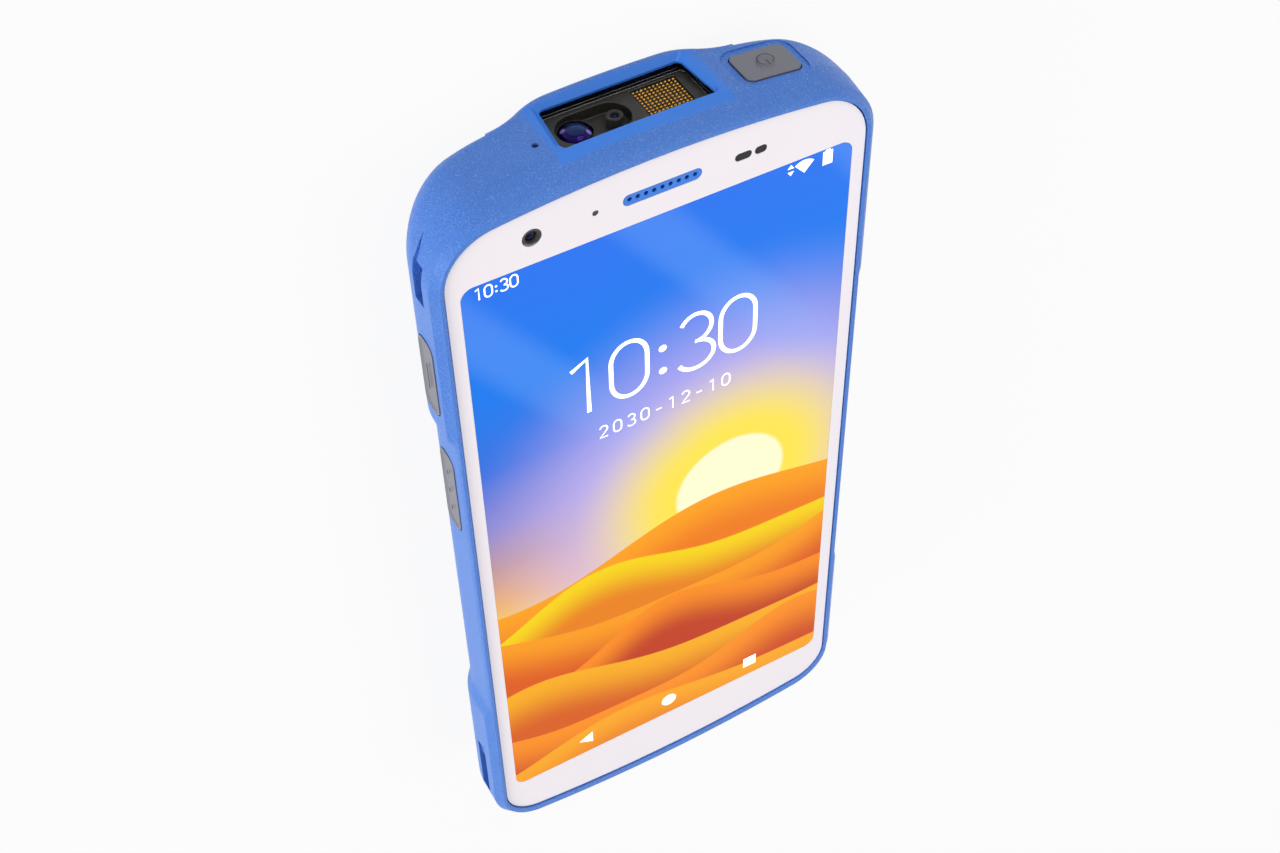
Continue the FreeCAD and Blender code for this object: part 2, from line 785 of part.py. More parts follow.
def strap_slots(side):
    """Openings for a hand strap in one long side, and the leaf-shaped groove beyond the upper one."""
    tag = "left" if side < 0 else "right"
    outer = f"{side} * (half_width - strap_depth / 2 + 0.5)"
    hole = block(tag + "_strap_hole", ("strap_depth + 1", "strap_length", "strap_height"),
                 (outer, "strap_place", "strap_line - strap_height / 2"))
    wide, deep = number("half_width") + 1, number("half_width - strap_depth * 2 / 3")
    foot = number("strap_place + strap_length / 2") - 0.01
    top = foot + number("strap_ramp")
    low = number("strap_line - strap_height / 2")
    plan = ((wide, foot), (deep, foot), (number("half_width"), top), (wide, top))
    corners = [Vector(side * x, y, low) for x, y in plan]
    ramp = solid(tag + "_strap_ramp", Part.Face(Part.makePolygon(corners + corners[:1])).extrude(
        Vector(0, 0, number("strap_height"))))
    long_hole = block(tag + "_low_strap_hole", ("strap_depth + 1", "low_strap_length", "strap_height"),
                      (outer, "-low_strap_place", "strap_line - strap_height / 2"))
    bar = block(tag + "_strap_bar", ("strap_depth", "strap_bar", "strap_height"),
                (f"{side} * (half_width - strap_depth / 2 - strap_depth / 4)", "-bar_place",
                 "strap_line - strap_height / 2"))
    low_hole = cut(tag + "_low_strap", long_hole, bar)
    width, inset = number("groove_width"), number("groove_depth")
    start, length = foot + number("groove_offset"), number("groove_length")
    leaf = ((start - width, low), (start, low + width), (start + length / 3, low + width),
            (start + length, low), (start + length / 3, low + width / 4))
    points = [Vector(0, y, z) for y, z in leaf]
    reach = Vector(side * number("half_width"), 0, 0)
    side_wall, top_wall, foot_wall = offsets()
    core = Part.Face(outline(0, side_wall - inset, top_wall - inset, foot_wall - inset)).extrude(
        Vector(0, 0, number("glass + 1")))
    groove = solid(tag + "_groove", Part.Face(Part.makePolygon(points + points[:1])).extrude(reach).cut(core))
    return [hole, ramp, low_hole, groove]


def shell(form):
    """The one-piece blue shell: the outer form less its cavity and every opening in it."""
    gap, inset = number("panel_gap"), -number("gasket_width")
    cutters = [
        prism("panel_pocket", "ledge", "glass + rim_rise + 1", gap, gap, gap),
        prism("main_cavity", "cavity_floor", "ledge + 0.5", inset, inset, inset),
        plate("battery_bay", "bay_width", "bay_length", "bay_corner", "bay_floor + 1",
              ("0", "-bay_centre", "-1")),
        block("terminal_slot", ("terminal_width + 2 * terminal_gap", "terminal_height + 2 * terminal_gap",
                                "floor_thickness + 2"), ("0", "terminal_place", "bay_floor - 1")),
    ]
    cutters += back_rooms() + rear_window_openings() + imager_openings() + power_openings() + small_holes()
    for side in (-1, 1):
        cutters += strap_slots(side)
    cutters += key_slot("left_talk_slot", -1, "upper_key_place", "upper_key_length")
    cutters += key_slot("left_scan_slot", -1, "lower_key_place", "lower_key_length")
    cutters += key_slot("right_volume_slot", 1, "upper_key_place", "upper_key_length")
    cutters += key_slot("right_scan_slot", 1, "lower_key_place", "lower_key_length")
    doc.recompute()
    hollow = cut("hollow_shell", form, *cutters)
    posts, bores = screw_posts()
    return cut("housing_shell", join("shell_with_posts", hollow, *posts), *bores)


def back_rooms():
    """Rooms in the shell above and below the battery bay, and round the imager."""
    tall = "cavity_floor + 1 - rear_wall"
    upper = block("upper_room", ("2 * back_room_side", "engine_reach - back_room_foot", tall),
                  ("0", "(engine_reach + back_room_foot) / 2", "rear_wall"))
    lower = block("lower_room", ("2 * back_room_side", "room_foot - foot_room_top", tall),
                  ("0", "-(room_foot + foot_room_top) / 2", "rear_wall"))
    rooms = [upper, lower]
    beside = "(engine_width / 2 + engine_shift + engine_gap + engine_rib)"
    behind_switch = "(power_seat - power_pocket - switch_wall)"
    for hand in (-1, 1):
        rooms.append(block(f"corner_room{hand + 1}",
                           (f"back_room_side - {beside}", f"{behind_switch} - engine_reach + 0.2", tall),
                           (f"{hand} * (back_room_side + {beside}) / 2",
                            f"({behind_switch} + engine_reach - 0.2) / 2", "rear_wall")))
    rooms.append(block("engine_room", ("engine_width + 2 * engine_gap", "pane_back - engine_reach + 0.1",
                                       "engine_height + 2 * engine_gap"),
                       ("engine_shift", "(pane_back + engine_reach) / 2", "imager_foot - engine_gap")))
    return rooms


def rear_window_openings():
    """The room behind the rear camera window, the window's seat and the opening through its ledge."""
    room = block("camera_room", ("rear_window_width + 4", "rear_window_height + 6",
                                 "rear_camera_depth + key_gap"), ("0", "rear_camera_place", "back_wall"))
    seat = plate("camera_window_seat", "rear_window_width + 2 * panel_gap",
                 "rear_window_height + 2 * panel_gap", "rear_window_corner + panel_gap", "window_inside + 1",
                 ("0", "rear_camera_place", "-1"))
    inside = "2 * panel_gap - 2 * rear_window_ledge"
    through = plate("camera_window_hole", f"rear_window_width + {inside}", f"rear_window_height + {inside}",
                    "rear_window_corner + panel_gap - rear_window_ledge", "back_wall + 1",
                    ("0", "rear_camera_place", "window_inside - 0.1"))
    return [room, seat, through]


def imager_openings():
    """The tapered aperture, its flared recess and the seat of the pane behind it."""
    flare = (number("recess_side"), number("recess_front"), number("recess_back"))
    through = trapezium("aperture", number("pane_front") - 0.1, number("lip_front") + 0.1, (0, 0, 0))
    recess = trapezium("aperture_recess", number("lip_front"), number("half_length") + 0.05, flare)
    seat = block("pane_seat", ("aperture_width + 2 * pane_margin", "pane_front - engine_front + 0.1",
                               "aperture_height + 2 * pane_margin"),
                 ("0", "(pane_front + engine_front - 0.1) / 2", "pane_foot"))
    return [through, recess, seat]


def power_openings():
    """The power key's opening and the room for its flange, in a shallow dish."""
    side, top, foot = offsets()
    depth = number("dish_depth")
    core = prism("dish_floor", "0", "glass", side - depth, top - depth, foot - depth)
    area = plate("dish_area", "power_key_width + 2 * dish_margin", "power_key_height + 2 * dish_margin",
                 "power_key_round + dish_margin", "2 * top_wall",
                 ("power_key_place", "half_length - 1.7 * top_wall", "power_line"), FORWARD)
    dish = cut("power_dish", area, core)
    mouth = plate("power_mouth", "power_key_width + 2 * key_gap", "power_key_height + 2 * key_gap",
                  "power_key_round + key_gap", "top_wall + 2",
                  ("power_key_place", "panel_top - 1", "power_line"), FORWARD)
    room = block("power_room", ("power_key_width + 2 * key_margin + 2 * key_gap", "power_pocket",
                                "power_key_height + 2 * key_margin + 2 * key_gap"),
                 ("power_key_place", "power_seat - power_pocket / 2",
                  "power_line - power_key_height / 2 - key_margin - key_gap"))
    return [dish, mouth, room]


def small_holes():
    """Sound holes, the connector's mouth and the holes for the charging pins."""
    room_foot = "(mic_line - mic_size / 2 - key_gap)"
    holes = [
        rod("ear_mic_hole", "mic_hole", "top_wall + 4", ("-ear_mic_place", "half_length + 1", "mic_line"),
            BACKWARD),
        block("ear_mic_room",
              ("mic_size + 2 * key_gap", "mic_depth + 0.2", f"cavity_floor + 1 - {room_foot}"),
              ("-ear_mic_place", "mic_seat - (mic_depth + 0.2) / 2", room_foot)),
        rod("foot_mic_hole", "mic_hole", "bottom_wall + 4",
            ("-foot_mic_place", "-half_length - 1", "mic_line"), FORWARD),
        plate("socket_hole", "socket_width + 2 * socket_gap", "socket_height + 2 * socket_gap",
              "socket_height / 2", "bottom_wall + 4", ("0", "-half_length - 1", "socket_line"), FORWARD),
    ]
    count = round(number("sound_holes"))
    for index in range(count):
        shift = index - (count - 1) / 2
        holes.append(rod(f"sound_hole{index}", "sound_hole", "bottom_wall + 4",
                         (f"speaker_place + {shift} * sound_pitch", "-half_length - 1",
                          "rear_wall + speaker_height / 2"), FORWARD))
    pins = round(number("pin_count"))
    for index in range(pins):
        shift = index - (pins - 1) / 2
        holes.append(rod(f"pin_hole{index}", "pin_width + 2 * socket_gap", "back_wall + 2",
                         (f"{shift} * pin_pitch", "-pin_row", "back - 1")))
    return holes


def screw_spots():
    """Positions of the four shell screws, as formulas."""
    return [(f"{side} * screw_x", row) for side in (-1, 1) for row in ("top_screw_row", "-foot_screw_row")]


def screw_posts():
    """Posts inside the shell for its screws, and the stepped bores through them."""
    posts, bores = [], []
    for index, (x, y) in enumerate(screw_spots()):
        posts.append(rod(f"post{index}", "post_width", "chassis_back - rear_wall + 0.2",
                         (x, y, "rear_wall - 0.2")))
        bores.append(rod(f"post_bore{index}", "screw_body + 2 * screw_gap", "chassis_top",
                         (x, y, "back - 1")))
        bores.append(rod(f"post_sink{index}", "screw_head + 2 * screw_gap",
                         "1 + screw_sink + screw_head_height", (x, y, "back - 1")))
    return posts, bores


def screw_profile(head, head_height, body, tip):
    """Half the outline of a flat-headed screw that stands on its head."""
    return [("0", "0"), (f"{head} / 2", "0"), (f"{head} / 2", head_height), (f"{body} / 2", head_height),
            (f"{body} / 2", tip), ("0", tip)]


def housing_screws():
    """The four screws that hold the shell to the chassis."""
    screws = []
    for index, (x, y) in enumerate(screw_spots()):
        profile = screw_profile("screw_head", "screw_head_height", "screw_body",
                                "chassis_back - back - screw_sink")
        screws.append(turned(f"housing_screw{index}", profile, (x, y, "back + screw_sink")))
    return group("housing_screws", screws)


def front_panel():
    """The white front panel with its display window and its row of small openings."""
    sheet = prism("panel_sheet", "display_top", "glass", 0, 0, 0)
    level = "display_top - 1"
    through = "panel_thickness + 2"
    holes = [
        plate("window_hole", "window_width + 2 * window_gap", "window_length + 2 * window_gap",
              "window_corner + window_gap", through, ("0", "window_middle", level)),
        plate("earpiece_slot", "earpiece_width + 2 * window_gap", "earpiece_height + 2 * window_gap",
              "earpiece_height / 2 - window_gap", through, ("0", "feature_line", level)),
        rod("ring_hole", "lens_ring + 2 * window_gap", through, ("-lens_place", "feature_line", level)),
        rod("lamp_hole", "lamp_width + 2 * window_gap", through, ("-lamp_place", "feature_line", level)),
    ]
    for tag in ("long", "short"):
        holes.append(plate(tag + "_pill_hole", f"{tag}_pill_width + 2 * window_gap",
                           "pill_height + 2 * window_gap", "pill_height / 2", through,
                           (f"{tag}_pill_place", "feature_line", level)))
    return cut("front_panel", sheet, *holes)


def panel_gasket():
    """The foam frame that seals the front panel to the shell's ledge."""
    inset = -number("gasket_width")
    return cut("panel_gasket", prism("gasket_outside", "ledge", "display_top", 0, 0, 0),
               prism("gasket_inside", "ledge - 1", "display_top + 1", inset, inset, inset))


def display():
    """Cover glass over the display, the display panel behind it, and the cast chassis that carries both."""
    plate("display_glass", "window_width", "window_length", "window_corner", "panel_thickness",
          ("0", "window_middle", "display_top"))
    block("display_panel", ("window_width + 2 * display_border", "window_length + 2 * display_border",
                            "display_thickness"), ("0", "window_middle", "chassis_top"))
    tray = plate("chassis_plate", "chassis_width", "chassis_length", "chassis_corner", "chassis_thickness",
                 ("0", "chassis_middle", "chassis_back"))
    standoffs, bores = [], []
    for index, (x, y) in enumerate(board_screw_spots()):
        standoffs.append(rod(f"standoff{index}", "standoff_width", "standoff_height + 0.1",
                             (x, y, "board_top")))
        bores.append(rod(f"standoff_bore{index}", "board_screw_body + 2 * board_screw_gap",
                         "standoff_height + 0.1", (x, y, "board_top - 0.1")))
    cut("mid_chassis", join("chassis_casting", tray, *standoffs), *bores)


def board_screw_spots():
    """Positions of the screws of the main board and the foot board, as formulas."""
    spots = [(f"{side} * (main_board_width / 2 - board_screw_side)",
              f"main_board_centre + {end} * (main_board_length / 2 - board_screw_end)")
             for side in (-1, 1) for end in (-1, 1)]
    inner_row = "foot_board_length / 2 - foot_board_centre - foot_screw_inset"
    return spots + [(f"{side} * foot_screw_x", inner_row) for side in (-1, 1)]


def dome(radius, edge, rise):
    """Half the outline of a lens with a straight edge and a domed face."""
    half = f"({radius} - lens_gap)"
    return [("0", "0"), (half, "0"), (half, edge), (f"{half} * 0.87", f"{edge} + {rise} * 0.5"),
            (f"{half} * 0.5", f"{edge} + {rise} * 0.87"), ("0", f"{edge} + {rise}")]


def front_features():
    """Earpiece, front camera, lamp and sensor windows, all on one line above the display."""
    count = round(number("earpiece_holes"))
    level = "glass - grille_sink - grille_thickness"
    slip = plate("grille_plate", "earpiece_width", "earpiece_height", "earpiece_height / 2 - 2 * window_gap",
                 "grille_thickness", ("0", "feature_line", level))
    holes = [rod(f"grille_hole{index}", "earpiece_hole", "grille_thickness + 1",
                 (f"{index - (count - 1) / 2} * earpiece_pitch", "feature_line", level + " - 0.5"))
             for index in range(count)]
    cut("earpiece_grille", slip, *holes)
    block("earpiece_receiver", ("receiver_width", "receiver_height", "receiver_depth"),
          ("0", "feature_line", "display_top - receiver_depth"))
    spot = ("-lens_place", "feature_line", "display_top")
    ring = rod("ring_outside", "lens_ring", "panel_thickness - window_gap", spot)
    hole = rod("ring_inside", "lens_opening", "panel_thickness", spot)
    cut("front_camera_ring", ring, hole)
    turned("front_camera_lens", dome("lens_opening / 2", "lens_edge", "lens_rise"), spot)
    block("front_camera_module", ("camera_size", "camera_size", "camera_depth"),
          ("-lens_place", "feature_line", "display_top - camera_depth"))
    rod("status_lamp_lens", "lamp_width", "panel_thickness - window_gap",
        ("-lamp_place", "feature_line", "display_top"))
    pills = [plate(f"{tag}_pill", f"{tag}_pill_width", "pill_height", "pill_height / 2 - window_gap",
                   "panel_thickness - window_gap", (f"{tag}_pill_place", "feature_line", "display_top"))
             for tag in ("long", "short")]
    group("sensor_windows", pills)
    lamp_board = block("lamp_board", ("sensor_board_depth", "sensor_board_depth", "sensor_board_height"),
                       ("-lamp_place + 1", "feature_line", "display_top - sensor_board_height"))
    sensor_board = block("sensor_board", ("sensor_board_width", "sensor_board_depth", "sensor_board_height"),
                         ("(long_pill_place + short_pill_place) / 2", "feature_line",
                          "display_top - sensor_board_height"))
    group("sensor_boards", [lamp_board, sensor_board])


def imager():
    """The barcode imager behind the scan window: pane, gasket, body, lenses and illumination."""
    width = "aperture_width + 2 * pane_margin - 2 * window_gap"
    height = "aperture_height + 2 * pane_margin - 2 * window_gap"
    block("scan_window", (width, "pane_thickness", height),
          ("0", "(pane_front + pane_back) / 2", "pane_foot + window_gap"))
    seal_middle = "(pane_back + engine_front) / 2"
    seal = block("seal_outside", (width, "pane_gasket", height), ("0", seal_middle, "pane_foot + window_gap"))
    hole = block("seal_inside",
                 ("aperture_width - 2 * seal_lip", "2 * pane_gasket", "aperture_height - 2 * seal_lip"),
                 ("0", seal_middle, "pane_foot + pane_margin + seal_lip"))
    cut("scan_window_gasket", seal, hole)
    case = block("engine_case", ("engine_width", "engine_depth", "engine_height"),
                 ("engine_shift", "(engine_front + engine_back) / 2", "imager_foot"))
    nest = plate("engine_nest", "nest_length", "nest_height", "nest_height / 2 - window_gap",
                 "nest_depth + 1", ("-nest_place", "nest_floor", "imager_line"), FORWARD)
    well = block("diffuser_well",
                 ("diffuser_width + 2 * window_gap", "diffuser_depth + 1",
                  "diffuser_height + 2 * window_gap"),
                 ("diffuser_place", "engine_front - diffuser_depth / 2 + 0.5",
                  "aperture_middle - diffuser_height / 2 - window_gap"))
    cut("scan_engine_body", case, nest, well)
    block("illumination_diffuser", ("diffuser_width", "diffuser_depth - diffuser_sink", "diffuser_height"),
          ("diffuser_place", "engine_front - (diffuser_depth + diffuser_sink) / 2",
           "aperture_middle - diffuser_height / 2"))
    for name, length, foot in (("imager", "barrel_length", "nest_floor"),
                               ("aimer", "nest_depth", "nest_floor + aimer_raise")):
        spot = (f"-{name}_place", "nest_floor", "imager_line")
        tube = rod(name + "_tube", f"{name}_width + 2 * {name}_wall", length, spot, FORWARD)
        bore = rod(name + "_bore", f"{name}_width", f"{length} + 1", spot, FORWARD)
        cut(name + "_barrel", tube, bore)
        turned(name + "_lens", dome(f"{name}_width / 2", "imager_edge", f"{name}_rise"),
               (f"-{name}_place", foot, "imager_line"), FORWARD)
    block("engine_board", ("engine_width", "circuit_thickness", "engine_height"),
          ("engine_shift", "engine_back - circuit_thickness / 2", "imager_foot"))
    behind = "(engine_back - circuit_thickness)"
    edge = "(main_board_centre + main_board_length / 2)"
    drop = block("engine_flex_drop", ("ribbon_width", "flex_thickness", "board_back - aperture_middle"),
                 ("0", f"{behind} - flex_thickness / 2", "aperture_middle"))
    run = block("engine_flex_run", ("ribbon_width", f"{behind} - {edge} + ribbon_lap", "flex_thickness"),
                ("0", f"({behind} + {edge} - ribbon_lap) / 2", "board_back - flex_thickness"))
    join("engine_flex", drop, run)


def keys():
    """Power key, the two keys in the left side and the two in the right, with their switches."""
    key("left_talk_key", -1, "upper_key_place", "upper_key_length", "half_width")
    key("left_scan_key", -1, "lower_key_place", "lower_key_length", "waist_side")
    key("right_volume_key", 1, "upper_key_place", "upper_key_length", "half_width", "rocker_gap")
    key("right_scan_key", 1, "lower_key_place", "lower_key_length", "waist_side")
    key_switches("left_key_switches", -1, ["lower_key_place", "upper_key_place"])
    key_switches("right_key_switches", 1, ["lower_key_place", "upper_key_place - switch_spacing / 2",
                                           "upper_key_place + switch_spacing / 2"])
    side, top, foot = offsets()
    rise = number("power_proud - dish_depth")
    limit = prism("power_key_limit", "0", "glass", side + rise, top + rise, foot + rise)
    column = plate("power_key_column", "power_key_width", "power_key_height", "power_key_round",
                   "top_wall + 2", ("power_key_place", "power_seat - flange_gap", "power_line"), FORWARD)
    flange = block("power_key_flange",
                   ("power_key_width + 2 * key_margin", "key_flange", "power_key_height + 2 * key_margin"),
                   ("power_key_place", "power_seat - flange_gap - key_flange / 2",
                    "power_line - power_key_height / 2 - key_margin"))
    join("power_key", common("power_key_cap", column, limit), flange)
    block("power_switch", ("power_switch_width", "power_slack", "power_switch_height"),
          ("power_key_place", "power_seat - power_pocket + power_slack / 2",
           "power_line - power_switch_height / 2"))


def electronics():
    """Circuit boards with their screws, shields, ribbon, battery terminals and antennas."""
    main_slab = block("main_board_slab", ("main_board_width", "main_board_length", "board_thickness"),
                      ("0", "main_board_centre", "board_back"))
    foot_slab = block("foot_board_slab", ("foot_board_width", "foot_board_length", "board_thickness"),
                      ("0", "-foot_board_centre", "board_back"))
    bores, screws = [], []
    tip = "board_screw_head_height + board_thickness + standoff_height"
    profile = screw_profile("board_screw_head", "board_screw_head_height", "board_screw_body", tip)
    for index, (x, y) in enumerate(board_screw_spots()):
        bores.append(rod(f"board_bore{index}", "board_screw_body + 2 * board_screw_gap",
                         "2 * board_thickness", (x, y, "board_back - board_thickness / 2")))
        screws.append(turned(f"board_screw{index}", profile, (x, y, "board_back - board_screw_head_height")))
    cut("main_board", main_slab, *bores[:4])
    cut("foot_board", foot_slab, *bores[4:])
    group("board_screws", screws)
    cans = []
    for hand in (-1, 1):
        for end in (-1, 1):
            cans.append(block(f"can{hand + 1}{end + 1}", ("can_width", "can_length", "can_height"),
                              (f"{hand} * (can_width + can_spacing) / 2",
                               f"main_board_centre + {end} * (can_length + can_row_gap) / 2",
                               "board_back - can_height")))
    group("shield_cans", cans)
    low, high = "(foot_board_length / 2 - foot_board_centre)", "(main_board_centre - main_board_length / 2)"
    block("board_ribbon", ("ribbon_width", f"{high} - {low} + 2 * ribbon_lap", "flex_thickness"),
          ("0", f"({high} + {low}) / 2", "board_back - flex_thickness"))
    block("battery_terminals", ("terminal_width", "terminal_height", "board_back - bay_floor"),
          ("0", "terminal_place", "bay_floor"))
    antennas = [block("upper_antenna", ("antenna_width", "antenna_length", "antenna_thickness"),
                      ("-antenna_place", "motor_row", "rear_wall")),
                block("lower_antenna", ("antenna_width", "antenna_length", "antenna_thickness"),
                      ("-antenna_place", "-foot_room_top - antenna_length / 2 - 0.2", "rear_wall"))]
    group("antennas", antennas)


def sockets():
    """The connector in the foot, the charging pins in the back, and what makes or hears sound."""
    tube = plate("socket_outside", "socket_width", "socket_height", "socket_height / 2 - window_gap",
                 "socket_depth", ("0", "socket_mouth", "socket_line"), FORWARD)
    bore = plate("socket_inside", "socket_width - 2 * socket_wall", "socket_height - 2 * socket_wall",
                 "socket_height / 2 - socket_wall - window_gap", "socket_depth",
                 ("0", "socket_mouth - socket_wall", "socket_line"), FORWARD)
    cut("usb_socket_shell", tube, bore)
    block("usb_socket_tongue", ("tongue_width", "tongue_length", "tongue_height"),
          ("0", "socket_mouth + socket_depth - socket_wall - tongue_length / 2",
           "socket_line - tongue_height / 2"))
    block("loudspeaker", ("speaker_width", "speaker_length", "speaker_height"),
          ("speaker_place", "speaker_length / 2 - room_foot", "rear_wall"))
    mic = ("mic_size", "mic_depth", "mic_size")
    low = "mic_line - mic_size / 2"
    group("microphones", [block("ear_mic", mic, ("-ear_mic_place", "mic_seat - mic_depth / 2", low)),
                          block("foot_mic", mic, ("-foot_mic_place", "mic_depth / 2 - room_foot", low))])
    rod("vibration_motor", "motor_width", "motor_height", ("motor_place", "motor_row", "rear_wall"))
    pins = round(number("pin_count"))
    group("charging_pins", [rod(f"pin{index}", "pin_width", "back_wall - pin_sink",
                                (f"{index - (pins - 1) / 2} * pin_pitch", "-pin_row", "back + pin_sink"))
                            for index in range(pins)])
    block("charging_pin_block", ("pin_count * pin_pitch", "pin_block_length", "pin_block_height"),
          ("0", "-pin_row", "rear_wall"))


def rear_camera():
    """The window in the bump, and the camera and the flash lamp behind it."""
    plate("rear_camera_window", "rear_window_width", "rear_window_height", "rear_window_corner",
          "rear_window_depth", ("0", "rear_camera_place", "rear_window_sink"))
    block("rear_camera_module", ("rear_camera_size", "rear_camera_size", "rear_camera_depth"),
          ("-rear_lens_place", "rear_camera_place", "back_wall"))
    rod("flash_lamp", "flash_width", "flash_depth", ("flash_place", "rear_camera_place", "window_inside"))


def battery(form):
    """The removable battery pack: back cover, cell, protection board, contacts, lid and two latches."""
    slab = plate("pack_blank", "bay_width - 2 * pack_gap", "bay_length - 2 * pack_gap", "bay_corner",
                 "pack_front + 1", ("0", "-bay_centre", "-1"))
    pocket = plate("pack_pocket", "cell_width + 2 * cell_gap", "pocket_length", "1", "pack_front",
                   ("0", "pocket_middle", "back + pack_wall"))
    cutters = [pocket]
    contacts = []
    count = round(number("contact_count"))
    for index in range(count):
        x = f"{index - (count - 1) / 2} * contact_pitch"
        size = ("contact_width", "contact_length", "contact_depth")
        contacts.append(block(f"contact{index}", size, (x, "terminal_place", "pack_front - contact_depth")))
        cutters.append(block(f"contact_seat{index}", ("contact_width", "contact_length", "contact_depth + 1"),
                             (x, "terminal_place", "pack_front - contact_depth")))
    for name, side in (("left", -1), ("right", 1)):
        seat = ("latch_width + latch_travel + 2 * latch_gap", "latch_length + 2 * latch_gap",
                "latch_thickness + 2 * latch_gap + 1")
        cutters.append(block(f"{name}_latch_seat", seat,
                             (f"{side} * (latch_place - latch_travel / 2)", "latch_row", "back - 1")))
        block(f"battery_latch_{name}", ("latch_width", "latch_length", "latch_thickness"),
              (f"{side} * latch_place", "latch_row", "back + latch_gap"))
    cut("battery_cover", common("pack_form", slab, form), *cutters)
    group("battery_contacts", contacts)
    plate("battery_cell", "cell_width", "cell_length", "1", "pack_front - pack_lid - back - pack_wall",
          ("0", "cell_gap + cell_length / 2 - pocket_foot", "back + pack_wall"))
    block("battery_circuit", ("circuit_width", "circuit_length", "circuit_thickness"),
          ("0", "pocket_top - cell_gap - circuit_length / 2", "back + pack_wall"))
    plate("battery_lid", "cell_width", "pocket_length - 2 * cell_gap", "1", "pack_lid",
          ("0", "pocket_middle", "pack_front - pack_lid"))


NODES = (
    "housing_shell housing_screws front_panel panel_gasket display_glass display_panel mid_chassis"
    " earpiece_grille earpiece_receiver front_camera_ring front_camera_lens front_camera_module"
    " status_lamp_lens sensor_windows sensor_boards scan_window scan_window_gasket scan_engine_body"
    " illumination_diffuser imager_barrel imager_lens aimer_barrel aimer_lens engine_board"
    " engine_flex power_key power_switch left_talk_key left_scan_key right_volume_key right_scan_key"
    " left_key_switches right_key_switches main_board board_screws shield_cans foot_board"
    " board_ribbon battery_terminals usb_socket_shell usb_socket_tongue loudspeaker microphones"
    " vibration_motor rear_camera_window rear_camera_module flash_lamp charging_pins"
    " charging_pin_block antennas battery_cover battery_contacts battery_cell battery_circuit"
    " battery_lid battery_latch_left battery_latch_right"
).split()


def build():
    """Makes every sub-part in the document."""
    form = join("outer_form", body_form(), bump_form())
    shell(form)
    housing_screws()
    front_panel()
    panel_gasket()
    display()
    front_features()
    imager()
    keys()
    electronics()
    sockets()
    rear_camera()
    battery(form)
    doc.recompute()


def check_and_write():
    """Stops at the first failed object, and writes each sub-part's solids to its own file."""
    for item in doc.Objects:
        if "Invalid" in item.State or "Error" in item.State:
            raise RuntimeError(f"{item.Label} failed: {item.State}")
    os.makedirs("parts", exist_ok=True)
    for name in NODES:
        shape = doc.getObject(name).Shape
        if shape.isNull() or not shape.isValid() or not shape.Solids:
            raise RuntimeError(f"{name} has no valid solid")
        shape.exportStep(f"parts/{name}.step")
        print(f"{name}: {len(shape.Solids)} solid(s), {shape.Volume:.1f} mm3")


if __name__ == "__main__":
    build()
    check_and_write()
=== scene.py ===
"""Portable barcode data terminal: the looks of every piece, built around the fixed frame of its solids.

+X is to the right of someone who reads the screen, +Y towards the scanning end, +Z out of the screen.
Lengths are in metres, as the frame's are, and MM turns millimetres into them. The finishes and the tables
of outlines, marks and holes are in millimetres.
"""

import logging
import math
from collections.abc import Callable, Sequence
from dataclasses import dataclass
from enum import Enum
from functools import partial

import bmesh
import bpy
from mathutils import Matrix, Vector


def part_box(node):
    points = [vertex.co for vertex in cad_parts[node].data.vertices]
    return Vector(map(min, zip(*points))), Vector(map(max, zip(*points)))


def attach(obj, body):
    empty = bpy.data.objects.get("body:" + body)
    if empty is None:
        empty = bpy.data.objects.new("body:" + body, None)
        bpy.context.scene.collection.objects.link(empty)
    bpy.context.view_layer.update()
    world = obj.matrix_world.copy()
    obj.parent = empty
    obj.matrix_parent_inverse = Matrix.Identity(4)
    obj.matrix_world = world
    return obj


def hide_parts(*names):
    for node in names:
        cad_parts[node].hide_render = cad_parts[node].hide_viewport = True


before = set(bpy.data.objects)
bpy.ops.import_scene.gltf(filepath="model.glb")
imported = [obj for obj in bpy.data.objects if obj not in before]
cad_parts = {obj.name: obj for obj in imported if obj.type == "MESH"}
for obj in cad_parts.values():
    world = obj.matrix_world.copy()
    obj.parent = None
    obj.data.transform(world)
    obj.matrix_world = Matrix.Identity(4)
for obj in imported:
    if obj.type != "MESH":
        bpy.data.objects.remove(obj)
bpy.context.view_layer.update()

MM = 0.001
SKIN = 0.015 * MM
MERGE = 0.001 * MM
RIGHT, AHEAD, UP = Vector((1, 0, 0)), Vector((0, 1, 0)), Vector((0, 0, 1))
LOG = logging.getLogger("terminal")

Point = tuple[float, float]
Spot = tuple[float, float, float]
Form = bmesh.types.BMesh
Tree = bpy.types.NodeTree
Node = bpy.types.Node
Socket = bpy.types.NodeSocket
Value = float | tuple[float, ...] | Node | Socket

MATH, RANGE, MIX, NOISE = "ShaderNodeMath", "ShaderNodeMapRange", "ShaderNodeMix", "ShaderNodeTexNoise"
VECTORS, BANDS, BUMP = "ShaderNodeVectorMath", "ShaderNodeTexWave", "ShaderNodeBump"
SUM, DIFFERENCE, PRODUCT, ROOT, SINE, LARGER, LENGTH = (
    {"operation": name} for name in ("ADD", "SUBTRACT", "MULTIPLY", "SQRT", "SINE", "MAXIMUM", "LENGTH"))
COLOURS, SMOOTH = {"data_type": "RGBA"}, {"interpolation_type": "SMOOTHSTEP"}
# A Wave Texture's bands lie 2 pi / 20 apart at a scale of 1, so this draws threads and rows of pixels 2 pi
# times as wide as their pitch: the real ones are too fine to show.
WAVE = 0.05


